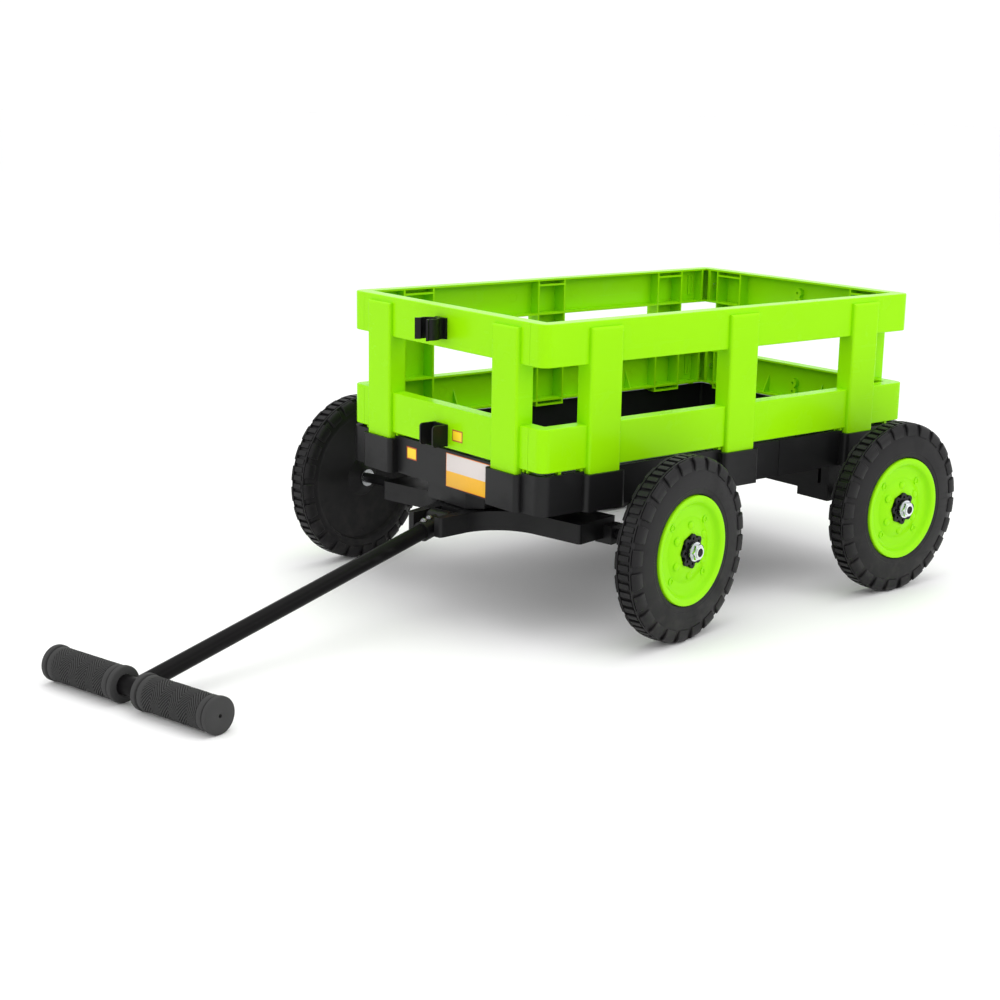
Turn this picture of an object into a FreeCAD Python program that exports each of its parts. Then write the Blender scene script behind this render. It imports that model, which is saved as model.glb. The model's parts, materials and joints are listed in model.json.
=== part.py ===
"""Child-size garden pull cart: a slatted box on a moulded tray, four wheels and a steered draw handle.

Millimetres, +Z up.  The handle end of the cart points to -Y and the cart's own left-right symmetry
plane is X = 0 before the final shift.  The steered parts are built straight ahead and then turned
about the kingpin to the angle they rest at.  The last step moves the whole cart so that the origin
lies on the ground under the middle of its overall box.
"""
import FreeCAD, Part
import math
import os

Vec = FreeCAD.Vector
X_AXIS, Y_AXIS, Z_AXIS = Vec(1, 0, 0), Vec(0, 1, 0), Vec(0, 0, 1)

# ---- driving dimensions --------------------------------------------------------------------
BED_LENGTH = 620.0            # outside of the slatted box, front to back
BED_WIDTH = 380.0             # outside of the slatted box, side to side
WHEEL_RADIUS = 109.0          # over the tread lugs
RAIL_LOW = (49.5, 99.5)       # lower rail, bottom and top above the tray's bottom edge
RAIL_TOP = (168.5, 217.0)     # upper rail, the same way
POST_SPAN = (43.0, 210.0)     # posts, foot and head above the tray's bottom edge
STEER_AT_REST = 10.4          # degrees the steered parts are turned at rest, anticlockwise from above
HANDLE_LENGTH = 457.0         # hitch bolt to the axis of the cross grip

# ---- box panels ----------------------------------------------------------------------------
CORNER_R = 12.0
SKIN = 2.5                    # wall of every panel
PANEL_DEPTH = 18.0            # outer face to the inner edge of the flanges
POST_WIDTH = 48.0
POST_PROUD = 5.0              # post face beyond the rail face
END_POST_INSET = 89.5         # side panels' end posts, centre to the end of the box
FRONT_POST_INSET = 64.5       # end panels' posts, centre to the side of the box
SEAM_INSET = 25.0             # joint between an end panel and a side panel, from the side of the box
SEAM_GAP = 0.4
EDGE_R = 1.4                  # rounding of the rails' outer edges
POST_EDGE_R = 3.0
GUSSET = (12.0, 24.0, 1.8)    # depth, height and thickness of the small lower-rail gussets
FOOT = (4.0, 7.0)             # nubs under the lower rail: along and across the panel
BOSS = (6.5, 6.5)             # radius and height of the clip screws' bosses
PANEL_SCREW_R = 2.0           # corner screws and clip screws
PANEL_SCREW_HEAD = (4.2, 2.2) # radius and height
CORNER_SCREW_LENGTH = 9.0

# ---- tray ----------------------------------------------------------------------------------
TRAY_WALL = 4.0
TRAY_RECESS = 3.0             # tray wall behind the rail face
TRAY_HEIGHT = 46.0
TRAY_FLOOR = (6.0, 10.0)      # underside and top of the floor above the tray's bottom edge
PAD_WIDTH = 60.0              # bulge under each post
PAD_PROUD = 9.0               # bulge beyond the rail face
PAD_R = 6.0
CORNER_BLOCK = (35.0, 62.0)   # corner blocks, along the end and along the side
BLOCK_PROUD = 1.0
FLOOR_RIBS = 7
FLOOR_RIB = (20.0, 2.0)       # width and height
FLOOR_RIB_INSET = 14.0        # rib ends to the inner wall
INNER_R = 5.0                 # inner corners
PAD_NOTCH = 1.0               # gap each side of a post in the tray's wall
SEAM_LINE = (78.0, 1.2, 0.8)  # mould line in the long walls: behind the middle, width, depth

# ---- running gear --------------------------------------------------------------------------
AXLE_R = 5.0
AXLE_END_SUNK = 1.0           # axle's end below its nut's collar
REAR_AXLE_INSET = 100.0       # rear axle to the rear of the box
KINGPIN_INSET = 115.0         # kingpin to the front of the box
AXLE_LEAD = 15.0              # front axle ahead of the kingpin
WHEEL_SIDE_GAP = 76.0         # wheel's middle plane to the side of the box
RUN_CLEARANCE = 0.05          # radial, every turning fit
AXIAL_GAP = 0.3
CARRIAGE_DROP = 5.0           # carriage underside below the axle
CARRIAGE_HEIGHT = 23.5
BEARING_THICKNESS = 1.6
BEARING_R = 44.0
MOUNT_HEIGHT = 20.6           # steering mount, bearing to the tray's bottom edge
ARM_HALF = 162.0              # carriage, half width over the arms
ARM_REACH = 71.0              # carriage arms' front face ahead of the kingpin
ARM_BACK = 4.0                # arms' rear face behind the axle
EAR_REACH = 163.0             # ear tips ahead of the kingpin
EAR_OUT = 27.0                # ears' outer faces from the middle
EAR_IN = 17.0                 # ears' inner faces from the middle
HITCH_REACH = 134.0           # hitch bolt ahead of the kingpin
HITCH_RISE = 5.5              # hitch bolt above the axle
HITCH_BOLT_R = 4.0
HITCH_HEAD_R, HITCH_HEAD_HEIGHT = 6.4, 4.2
HITCH_DOME_R = 7.2
SPACER_R = 6.5
HUB_LUG = 12.0                # bosses round the axle at the arms' tips: half width and reach
LUG_HALF_HEIGHT = 11.0
ARM_BLOCK = 8.0               # extra depth of the arms behind the axle
ARM_POCKET = (6.0, 10.0, 5.0, 10.0)   # in from the rounded back, arm's end, its front and the axle
ARM_POCKET_TOP = 4.0
KNUCKLE_SLOT_GAP = 4.0        # between the ears, behind the knuckle
FLARE_START = 42.0            # curve from the ears to the arms starts this far behind the ear tips
FLARE_END = 94.0              # and ends this far out from the middle
FLARE_MID = (54.0, 13.0)      # a point on that curve: out from the middle, and ahead of the arms
BACK_HALF, BACK_BULGE = 34.0, 30.0    # rounded back: half width, and reach behind the kingpin
EAR_R = 4.0
HEAD_SEAT = 5.2               # bolt head's and nut's seats below the ears' outer faces
HEAD_POCKET_R = 6.8
HITCH_NUT = (11.5, 4.6)       # across flats, and height

# ---- steering mount and rear beam ----------------------------------------------------------
MOUNT_FRONT = 9.0             # front face behind the front of the box
MOUNT_HALF, MOUNT_NOSE = 52.0, 38.0   # half width, and half width of the front face
MOUNT_NOSE_DEPTH = 18.0
MOUNT_BACK = 60.0             # behind the kingpin
MOUNT_WALL = 5.0
MOUNT_CORE = 24.0             # solid each side of the kingpin, and at each side wall
MOUNT_SCREW_INSET = 12.0
MOUNT_SCREW_LEAD = 62.0       # front screws ahead of the kingpin
KINGPIN_R = 5.0
KINGPIN_HEAD = (10.5, 7.0, 6.4)       # pocket radius, pocket depth and head height
KINGPIN_PROUD = 1.5           # kingpin's end below its nut
TRAY_SCREW_R = 2.5
TRAY_SCREW_HEAD = (4.6, 2.4)
TRAY_SCREW_SINK = (5.0, 3.0)
BEAM_INSET = 15.0             # beam's ends to the sides of the box
BEAM_BLOCK = 53.0             # length of the deeper end blocks
BEAM_HALF_Y = 22.0
BEAM_WEB_RISE, BEAM_DROP = 4.0, 9.0   # web above the axle, blocks below it
BEAM_POCKET_INSET = 32.0      # web pocket to the end blocks
BEAM_SCREWS = (20.0, 12.0)    # in from the end blocks, and each side of the axle
BEAM_SLOT = (13.0, 5.0, 9.0, 12.0)    # in from the end, width, depth, margin above and below

# ---- wheel, measured outwards from its middle plane ----------------------------------------
TREAD_HALF = 16.0
RIM_R = 64.4
RIM_LIP = 17.5
DISH_FLOOR = 9.5
DISH_R = 52.0
HUB_INNER, HUB_OUTER = -17.0, 19.0
HUB_FACE = 17.2
HUB_R = 17.5
HUB_LOBES = 8
SLEEVE_R = 8.0
WASHER = (11.2, 1.8)          # radius and thickness
NUT_FLATS, NUT_HEIGHT = 17.0, 6.2
NUT_COLLAR = (7.0, 1.6)       # radius and height of the locking collar
NUT_POINTS_R = 9.9
INNER_RECESS = 8.0            # inner disc behind the inner side of the tread
CONE = (12.0, 25.0, 1.0)      # small and large radius of the inner cone, and its end's set-back
RECESS_EDGE = (27.0, 25.0)    # inner recess's edge below the tread, bottom and top
SHOULDER = (14.0, 5.5, 2.2)   # points of the rounded shoulder below the tread
SEAT_GAP = 0.8                # round the rim insert
RIM_SEAT = 4.0                # insert's back below its floor
RIM_WALL = 2.4
RIM_LIP_IN = (7.0, 8.6)       # inner edge of the lip below its outer radius
RAISED_R = 38.3               # raised middle of the insert's floor
RAISED = 0.7
CONE_RISE, CONE_TOP_R = 4.6, 23.0     # middle's rise above the floor, and where it levels off
RING_BOSSES = (4, 44.0, 4.2, 2.8, 1.2)        # count, circle, outer and inner radius, height
DOMES = (6, 29.0, 6.0, 3.2)   # count, circle, sphere radius, and its centre below the cone
LOBE = (4.6, 1.7, 3.0)        # radius, set-in from the hub radius, thickness
LOBE_HOLE = (1.7, 2.5)        # radius and depth
HUB_BOSS_R = 11.0

# ---- handle --------------------------------------------------------------------------------
POLE_R, POLE_WALL = 9.5, 1.5
KNUCKLE_R = 14.0              # rounded pole end turning between the ears
KNUCKLE_EDGE_R = 4.0
SOCKET = (34.0, 2.6)          # knuckle's sleeve round the pole: reach from the hitch bolt, and wall
POLE_START = 6.0              # pole's end from the hitch bolt's axis
KNUCKLE_SCREWS = (18.0, 27.0) # from the hitch bolt's axis
KNUCKLE_SCREW = (2.0, 4.6, 1.6)       # shank radius, dome radius, and the dome's centre below its edge
CROSS_R = 11.0
CROSS_SKEW = 3.5              # degrees the cross tube is welded out of square, seen from above
GRIP_R, GRIP_FLANGE_R = 18.6, 19.6
GRIP_LENGTH, GRIP_GAP = 110.0, 30.0
GRIP_END = 4.0                # closed end's thickness
GRIP_BAND = (6.0, 6.6, 7.8, 8.4)      # flange, groove's slopes and groove's end, from either end
GRIP_GROOVE = 1.4
GRIP_HOLE_R = 2.0
CLIP_Z = (52.0, 179.5)        # lower and upper clip, bottom above the tray's bottom edge
CLIP_HEIGHT = (26.0, 25.0)
CLIP_PLATE = (13.8, 10.8, 3.0)        # half widths of the lower and upper plates, and thickness
CLIP_WALL, CLIP_REACH, CLIP_WALL_R = 2.5, 22.0, 4.0   # lower clip's side walls
CLIP_RING_R = 12.6
CLIP_SPRING_GAP = 0.3         # round the raised pole
CLIP_NECK = 7.0               # half width
CLIP_LIP = (2.6, 7.0, 36.0)   # thickness, length and spread in degrees
CLIP_LIP_AT = (7.2, 6.6)      # root of a lip from the pole's axis, sideways and forwards
LABEL_THICKNESS = 0.3
RAIL_LABEL = (22.8, 60.2, 20.0, 13.8)         # low X, low Z above the tray's edge, width, height
SMALL_LABEL = (20.5, 21.2, 21.0, 15.6)        # the same, but measured from the tray's left bulge
LARGE_LABEL = (7.0, 2.0, 0.5, 41.0)           # low X, low Z, gap to the right bulge, height

# ---- levels and places worked out from the above -------------------------------------------
AXLE_Z = WHEEL_RADIUS
CARRIAGE_Z = AXLE_Z - CARRIAGE_DROP
CARRIAGE_TOP = CARRIAGE_Z + CARRIAGE_HEIGHT
BEARING_Z = CARRIAGE_TOP + AXIAL_GAP
MOUNT_Z = BEARING_Z + BEARING_THICKNESS
TRAY_Z = MOUNT_Z + MOUNT_HEIGHT
FLOOR_UNDER = TRAY_Z + TRAY_FLOOR[0]
HALF_L, HALF_W = BED_LENGTH / 2, BED_WIDTH / 2
REAR_AXLE_Y = HALF_L - REAR_AXLE_INSET
KINGPIN_Y = -HALF_L + KINGPIN_INSET
FRONT_AXLE_Y = KINGPIN_Y - AXLE_LEAD
WHEEL_X = HALF_W + WHEEL_SIDE_GAP
HITCH = Vec(0, KINGPIN_Y - HITCH_REACH, AXLE_Z + HITCH_RISE)
CROSS_Z = GRIP_FLANGE_R       # the grips' flanges lie on the ground
HANDLE_DROOP = math.degrees(math.asin((HITCH.z - CROSS_Z) / HANDLE_LENGTH))
SIDE_POSTS = [-HALF_L + END_POST_INSET, 0.0, HALF_L - END_POST_INSET]
END_POSTS = [-HALF_W + FRONT_POST_INSET, HALF_W - FRONT_POST_INSET]
SEAM_X = HALF_W - SEAM_INSET
BEAM_HALF = HALF_W - BEAM_INSET
KINGPIN_SEAT_Z = FLOOR_UNDER - KINGPIN_HEAD[1]
KINGPIN_WASHER_Z = CARRIAGE_Z - AXIAL_GAP - WASHER[1]
KINGPIN_END = KINGPIN_WASHER_Z - NUT_HEIGHT - KINGPIN_PROUD
LUG_REACH = ARM_HALF + HUB_LUG


# ---- small modelling helpers ---------------------------------------------------------------
def box(x, y, z):
    """A box from (low, high) spans along the three axes."""
    return Part.makeBox(x[1] - x[0], y[1] - y[0], z[1] - z[0], Vec(x[0], y[0], z[0]))


def rod(radius, start, end):
    """A round bar between two points."""
    return Part.makeCylinder(radius, (end - start).Length, start, end - start)


def rounded_block(half_x, half_y, radius, z):
    """An upright block centred on the Z axis, with rounded upright corners."""
    solid = box((-half_x, half_x), (-half_y, half_y), z)
    upright = [e for e in solid.Edges if abs(e.tangentAt(e.FirstParameter).z) > 0.9]
    return solid.makeFillet(radius, upright)


def prism(points, z):
    """An upright prism on a closed polygon of (x, y) points."""
    wire = Part.makePolygon([Vec(px, py, z[0]) for px, py in points + points[:1]])
    return Part.Face(wire).extrude(Vec(0, 0, z[1] - z[0]))


def turned(start, steps):
    """A solid of revolution about the X axis.

    The outline is in (x, radius); a step is an end point, or (middle, end) for an arc.
    """
    edges, here = [], Vec(start[0], 0, start[1])
    for step in list(steps) + [start]:
        if isinstance(step[0], tuple):
            middle, end = (Vec(p[0], 0, p[1]) for p in step)
            edges.append(Part.Arc(here, middle, end).toShape())
        else:
            end = Vec(step[0], 0, step[1])
            edges.append(Part.LineSegment(here, end).toShape())
        here = end
    return Part.Face(Part.Wire(edges)).revolve(Vec(0, 0, 0), X_AXIS, 360)


def fused(shapes):
    """One shape from several that touch or overlap."""
    whole = shapes[0].fuse(shapes[1:]) if len(shapes) > 1 else shapes[0]
    return whole.removeSplitter()


def hexagon(flats, x):
    """A hexagonal bar along X."""
    reach = flats / math.sqrt(3)
    corners = [Vec(x[0], reach * math.cos(a), reach * math.sin(a))
               for a in (math.radians(60 * i) for i in range(7))]
    return Part.Face(Part.makePolygon(corners)).extrude(Vec(x[1] - x[0], 0, 0))


def placed(shape, x=0.0, y=0.0, z=0.0):
    """A copy of the shape moved to a place."""
    copy = shape.copy()
    copy.translate(Vec(x, y, z))
    return copy


def about_z(shape, degrees, centre=Vec(0, 0, 0)):
    """A copy turned about an upright axis."""
    copy = shape.copy()
    copy.rotate(centre, Z_AXIS, degrees)
    return copy


def both_sides(shape):
    """The shape and its half-turned twin, as separate solids, for a pair across X = 0."""
    return [shape, about_z(shape, 180)]


# ---- the slatted box -----------------------------------------------------------------------
def above_tray(span):
    """A (low, high) span measured from the tray's bottom edge, as heights above the ground."""
    return (TRAY_Z + span[0], TRAY_Z + span[1])


def rail_ring(z):
    """A solid rail running round all four sides, its outer edges lightly rounded."""
    outer = rounded_block(HALF_W, HALF_L, CORNER_R, z)
    rim = [e for e in outer.Edges if e.BoundBox.ZLength < 0.01]
    outer = outer.makeFillet(EDGE_R, rim)
    inner = box((-HALF_W + PANEL_DEPTH, HALF_W - PANEL_DEPTH),
                (-HALF_L + PANEL_DEPTH, HALF_L - PANEL_DEPTH), (z[0] - 1, z[1] + 1))
    return outer.cut(inner)


def on_side(side, along, depth, z):
    """A box on one side of the cart, from a span along it and a span of depth inwards."""
    if side in ("left", "right"):
        sign = 1 if side == "right" else -1
        faces = sorted(sign * (HALF_W - d) for d in depth)
        return box(faces, along, z)
    sign = 1 if side == "rear" else -1
    faces = sorted(sign * (HALF_L - d) for d in depth)
    return box(along, faces, z)


def post_places():
    """Every post as (side, centre along the side)."""
    return ([(side, y) for side in ("left", "right") for y in SIDE_POSTS]
            + [(side, x) for side in ("front", "rear") for x in END_POSTS])


def post_body(side, centre):
    """A solid post with rounded outer edges."""
    half = POST_WIDTH / 2
    low, high = above_tray(POST_SPAN)
    solid = on_side(side, (centre - half, centre + half), (-POST_PROUD, PANEL_DEPTH), (low, high))
    middle = solid.CenterOfMass
    face_out = HALF_W + POST_PROUD if side in ("left", "right") else HALF_L + POST_PROUD
    outer = []
    for edge in solid.Edges:
        where = edge.CenterOfMass
        distance = abs(where.x) if side in ("left", "right") else abs(where.y)
        if abs(distance - face_out) < 0.01 and where.z > middle.z - 1:
            outer.append(edge)
    return solid.makeFillet(POST_EDGE_R, outer)


def post_hollows(side, centre):
    """The pockets of a post, open to the inside, parted by webs level with the rail flanges."""
    half = POST_WIDTH / 2 - SKIN
    foot, head = above_tray(POST_SPAN)
    low, top = above_tray(RAIL_LOW), above_tray(RAIL_TOP)
    spans = [(foot + SKIN, low[0]), (low[0] + SKIN, low[1] - SKIN),
             (low[1], top[0]), (top[0] + SKIN, head - SKIN)]
    depth = (-POST_PROUD + SKIN, PANEL_DEPTH + 1)
    cuts = [on_side(side, (centre - half, centre + half), depth, z) for z in spans]
    cuts.append(on_side(side, (centre - half, centre + half), (SKIN, PANEL_DEPTH + 1),
                        (head, top[1] - SKIN)))
    return cuts


def rail_channel(z):
    """The channel behind a rail's skin, left solid at the posts and at the panel joints."""
    inner = (z[0] + SKIN, z[1] - SKIN)
    channel = rounded_block(HALF_W - SKIN, HALF_L - SKIN, CORNER_R - SKIN, inner)
    keep = [on_side(side, (c - POST_WIDTH / 2, c + POST_WIDTH / 2), (0, PANEL_DEPTH + 1), inner)
            for side, c in post_places()]
    for side in ("front", "rear"):
        for x in (-SEAM_X, SEAM_X):
            keep.append(on_side(side, (x - SKIN, x + SKIN), (0, PANEL_DEPTH + 1), inner))
    for side in ("left", "right"):
        for y in (-HALF_L + SEAM_INSET, HALF_L - SEAM_INSET):
            keep.append(on_side(side, (y - SKIN / 2, y + SKIN / 2), (0, PANEL_DEPTH + 1), inner))
    return channel.cut(keep)


def bays(side):
    """The open stretches of a side's rails between posts, joints and ribs."""
    posts = SIDE_POSTS if side in ("left", "right") else END_POSTS
    end = HALF_L - SEAM_INSET if side in ("left", "right") else SEAM_X
    marks = [-end] + [p + s * POST_WIDTH / 2 for p in posts for s in (-1, 1)] + [end]
    return list(zip(marks[0::2], marks[1::2]))


def gusset(side, along):
    """A small triangular stiffener standing on the lower rail's bottom flange."""
    depth, height, thick = GUSSET
    foot = TRAY_Z + RAIL_LOW[0] + SKIN
    block = on_side(side, (along - thick / 2, along + thick / 2), (SKIN, SKIN + depth),
                    (foot, foot + height))
    slope = box((0, 2 * height), (-thick, thick), (-2 * height, 2 * height))
    slope.rotate(Vec(0, 0, 0), Y_AXIS, -math.degrees(math.atan2(depth, height)))
    slope.translate(Vec(depth, 0, 0))
    turn = {"left": 0, "right": 180, "front": 90, "rear": -90}[side]
    slope = about_z(slope, turn)
    if side in ("left", "right"):
        sign = 1 if side == "right" else -1
        slope.translate(Vec(sign * (HALF_W - SKIN), along, foot))
    else:
        sign = 1 if side == "rear" else -1
        slope.translate(Vec(along, sign * (HALF_L - SKIN), foot))
    return block.cut(slope)


def clip_boss(side, z):
    """A round screw boss on the inside of an end panel, at the middle."""
    sign = 1 if side == "rear" else -1
    radius, height = BOSS
    start = Vec(0, sign * (HALF_L - SKIN / 2), z)
    return rod(radius, start, start - Vec(0, sign * (height + SKIN / 2), 0))


def clip_screw_heights():
    """Heights of the two screws behind each clip."""
    return [TRAY_Z + CLIP_Z[i] + CLIP_HEIGHT[i] * share for i in (0, 1) for share in (0.3, 0.75)]


def fence():
    """All four panels in one piece, before they are parted at the joints."""
    low, top = above_tray(RAIL_LOW), above_tray(RAIL_TOP)
    solid = fused([rail_ring(low), rail_ring(top)] + [post_body(*place) for place in post_places()])
    cuts = [rail_channel(low), rail_channel(top)]
    for place in post_places():
        cuts += post_hollows(*place)
    solid = solid.cut(cuts)
    extras = []
    tray_top = TRAY_Z + TRAY_HEIGHT
    for side in ("left", "right", "front", "rear"):
        for start, end in bays(side):
            if end - start > POST_WIDTH:
                extras += [gusset(side, start + (end - start) * share) for share in (0.25, 0.75)]
            for along in (start + FOOT[0], end - FOOT[0]):
                extras.append(on_side(side, (along - FOOT[0] / 2, along + FOOT[0] / 2),
                                      (TRAY_RECESS, TRAY_RECESS + FOOT[1]), (tray_top, low[0] + 1)))
    for side in ("front", "rear"):
        extras += [clip_boss(side, z) for z in clip_screw_heights()]
    return fused([solid] + extras)


def panels():
    """The four panels, parted near the corners, with their screw holes."""
    whole = fence()
    tall = (TRAY_Z, TRAY_Z + RAIL_TOP[1] + 10)
    far = HALF_L + 50
    joint = SEAM_X - SEAM_GAP / 2
    regions = {
        "left_panel": box((-far, -joint - SEAM_GAP), (-far, far), tall),
        "right_panel": box((joint + SEAM_GAP, far), (-far, far), tall),
        "front_panel": box((-joint, joint), (-far, 0), tall),
        "rear_panel": box((-joint, joint), (0, far), tall),
    }
    holes = []
    for z in clip_screw_heights():
        holes.append(rod(PANEL_SCREW_R, Vec(0, -far, z), Vec(0, far, z)))
    for x, y, z in corner_screw_places():
        holes.append(rod(PANEL_SCREW_R, Vec(x - 8, y, z), Vec(x + 8, y, z)))
    return {name: whole.common(region).cut(holes) for name, region in regions.items()}


def corner_screw_places():
    """Where a screw ties each end panel to each side panel, in both rails."""
    heights = [TRAY_Z + sum(span) / 2 for span in (RAIL_LOW, RAIL_TOP)]
    y = HALF_L - PANEL_DEPTH / 2
    return [(sx * SEAM_X, sy * y, z) for sx in (-1, 1) for sy in (-1, 1) for z in heights]


def corner_screws():
    """The panel joint screws: round head inside the end panel, shank through both end walls."""
    screws = []
    for x, y, z in corner_screw_places():
        outward = 1 if x > 0 else -1
        seat = Vec(x - outward * (SKIN + SEAM_GAP / 2), y, z)
        head = rod(PANEL_SCREW_HEAD[0], seat - Vec(outward * PANEL_SCREW_HEAD[1], 0, 0), seat)
        shank = rod(PANEL_SCREW_R, seat, seat + Vec(outward * CORNER_SCREW_LENGTH, 0, 0))
        screws.append(fused([head, shank]))
    return screws


# ---- tray ----------------------------------------------------------------------------------
def tray():
    """The moulded tray: a scalloped outline with a bulge under every post."""
    z_all, z_pad = (TRAY_Z, TRAY_Z + TRAY_HEIGHT), (TRAY_Z, TRAY_Z + POST_SPAN[0])
    wall_x, wall_y = HALF_W - TRAY_RECESS, HALF_L - TRAY_RECESS
    body = [rounded_block(wall_x, wall_y, CORNER_R - TRAY_RECESS, z_all)]
    outline = rounded_block(HALF_W + BLOCK_PROUD, HALF_L + BLOCK_PROUD, CORNER_R + BLOCK_PROUD, z_all)
    for sx in (-1, 1):
        for sy in (-1, 1):
            xs = sorted((sx * (HALF_W - CORNER_BLOCK[0]), sx * (HALF_W + 5)))
            ys = sorted((sy * (HALF_L - CORNER_BLOCK[1]), sy * (HALF_L + 5)))
            body.append(outline.common(box(xs, ys, z_all)))
    half = PAD_WIDTH / 2
    for side, centre in post_places():
        pad = on_side(side, (centre - half, centre + half), (-PAD_PROUD, TRAY_RECESS + 2), z_pad)
        body.append(soften_pad(pad, side))
    solid = fused(body)
    inner_x, inner_y = wall_x - TRAY_WALL, wall_y - TRAY_WALL
    cuts = [rounded_block(inner_x, inner_y, INNER_R, (TRAY_Z + TRAY_FLOOR[1], z_all[1] + 1)),
            rounded_block(inner_x, inner_y, INNER_R, (TRAY_Z - 1, FLOOR_UNDER))]
    notch = POST_WIDTH / 2 + PAD_NOTCH
    for side, centre in post_places():
        cuts.append(on_side(side, (centre - notch, centre + notch), (-20, 20), (z_pad[1], z_all[1] + 1)))
    seam_y, seam_width, seam_depth = SEAM_LINE
    for side in ("left", "right"):
        cuts.append(on_side(side, (seam_y - seam_width / 2, seam_y + seam_width / 2),
                            (0, TRAY_RECESS + seam_depth), (z_all[0] - 1, z_all[1] + 1)))
    solid = solid.cut(cuts)
    pitch = 2 * inner_x / FLOOR_RIBS
    floor = TRAY_Z + TRAY_FLOOR[1]
    rib_y = (-inner_y + FLOOR_RIB_INSET, inner_y - FLOOR_RIB_INSET)
    ribs = [box((x - FLOOR_RIB[0] / 2, x + FLOOR_RIB[0] / 2), rib_y,
                (floor - 0.5, floor + FLOOR_RIB[1]))
            for x in (-inner_x + pitch * (i + 0.5) for i in range(FLOOR_RIBS))]
    return fused([solid] + ribs)


def soften_pad(pad, side):
    """Round the upright outer edges of a bulge."""
    reach = HALF_W + PAD_PROUD if side in ("left", "right") else HALF_L + PAD_PROUD
    outer = []
    for edge in pad.Edges:
        where = edge.CenterOfMass
        distance = abs(where.x) if side in ("left", "right") else abs(where.y)
        if abs(distance - reach) < 0.01 and edge.BoundBox.ZLength > 1:
            outer.append(edge)
    return pad.makeFillet(PAD_R, outer)


# ---- underside -----------------------------------------------------------------------------
def mount_screw_places():
    """The four screws that hold the steering mount up to the tray floor."""
    ys = (KINGPIN_Y - MOUNT_SCREW_LEAD, KINGPIN_Y + MOUNT_BACK - MOUNT_SCREW_INSET)
    return [(sx * (MOUNT_HALF - MOUNT_SCREW_INSET), y) for sx in (-1, 1) for y in ys]


def screw_holes(places, z):
    """Through holes from a level up to the tray floor, and sunk seats for the heads."""
    sink_r, sink = TRAY_SCREW_SINK
    holes = []
    for x, y in places:
        holes.append(rod(TRAY_SCREW_R, Vec(x, y, z - 1), Vec(x, y, FLOOR_UNDER + 1)))
        holes.append(rod(sink_r, Vec(x, y, z - 1), Vec(x, y, z + sink)))
    return holes


def upward_screws(places, z):
    """Pan-head screws driven upwards from sunk seats at a level, as far as the tray floor."""
    head_r, head_height = TRAY_SCREW_HEAD
    seat = z + TRAY_SCREW_SINK[1]
    screws = []
    for x, y in places:
        head = rod(head_r, Vec(x, y, seat - head_height), Vec(x, y, seat))
        shank = rod(TRAY_SCREW_R, Vec(x, y, seat - 0.2), Vec(x, y, FLOOR_UNDER))
        screws.append(fused([head, shank]))
    return screws


def steering_mount():
    """A moulded block under the tray that carries the kingpin."""
    front, back = -HALF_L + MOUNT_FRONT, KINGPIN_Y + MOUNT_BACK
    nose = front + MOUNT_NOSE_DEPTH
    outline = [(-MOUNT_NOSE, front), (MOUNT_NOSE, front), (MOUNT_HALF, nose), (MOUNT_HALF, back),
               (-MOUNT_HALF, back), (-MOUNT_HALF, nose)]
    solid = prism(outline, (MOUNT_Z, FLOOR_UNDER))
    pocket_x, pocket_z = MOUNT_HALF - MOUNT_CORE, (MOUNT_Z + MOUNT_WALL, FLOOR_UNDER + 1)
    pockets = [box((-pocket_x, pocket_x), (front + MOUNT_WALL, KINGPIN_Y - MOUNT_CORE), pocket_z),
               box((-pocket_x, pocket_x), (KINGPIN_Y + MOUNT_CORE, back - MOUNT_WALL), pocket_z)]
    bore = rod(KINGPIN_R, Vec(0, KINGPIN_Y, MOUNT_Z - 1), Vec(0, KINGPIN_Y, FLOOR_UNDER + 1))
    head = rod(KINGPIN_HEAD[0], Vec(0, KINGPIN_Y, KINGPIN_SEAT_Z), Vec(0, KINGPIN_Y, FLOOR_UNDER + 1))
    return solid.cut(pockets + [bore, head] + screw_holes(mount_screw_places(), MOUNT_Z))


def kingpin():
    """The hexagon bolt that the steered carriage turns on, head up."""
    head = hexagon(NUT_FLATS, (0, KINGPIN_HEAD[2]))
    head.rotate(Vec(0, 0, 0), Y_AXIS, -90)
    head = placed(head, 0, KINGPIN_Y, KINGPIN_SEAT_Z)
    shank = rod(KINGPIN_R, Vec(0, KINGPIN_Y, KINGPIN_END), Vec(0, KINGPIN_Y, KINGPIN_SEAT_Z + 0.5))
    return fused([head, shank])


def nut(inner=AXLE_R):
    """A locking nut along X from x = 0, with its round collar outwards."""
    collar_r, collar_height = NUT_COLLAR
    top = NUT_HEIGHT - collar_height
    crown = turned((-1, 0), [(-1, NUT_POINTS_R), (top - 1, NUT_POINTS_R), (top, NUT_POINTS_R - 1), (top, 0)])
    body = hexagon(NUT_FLATS, (0, top)).common(crown)
    collar = rod(collar_r, Vec(top - 0.2, 0, 0), Vec(NUT_HEIGHT, 0, 0))
    return fused([body, collar]).cut(rod(inner, Vec(-1, 0, 0), Vec(NUT_HEIGHT + 1, 0, 0)))


def washer(inner=AXLE_R):
    """A flat washer along X from x = 0."""
    return rod(WASHER[0], Vec(0, 0, 0), Vec(WASHER[1], 0, 0)).cut(
        rod(inner, Vec(-1, 0, 0), Vec(WASHER[1] + 1, 0, 0)))


def rear_beam_screw_places():
    """The four screws that hold the rear beam up to the tray floor."""
    x = BEAM_HALF - BEAM_BLOCK - BEAM_SCREWS[0]
    return [(sx * x, REAR_AXLE_Y + sy * BEAM_SCREWS[1]) for sx in (-1, 1) for sy in (-1, 1)]


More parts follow.
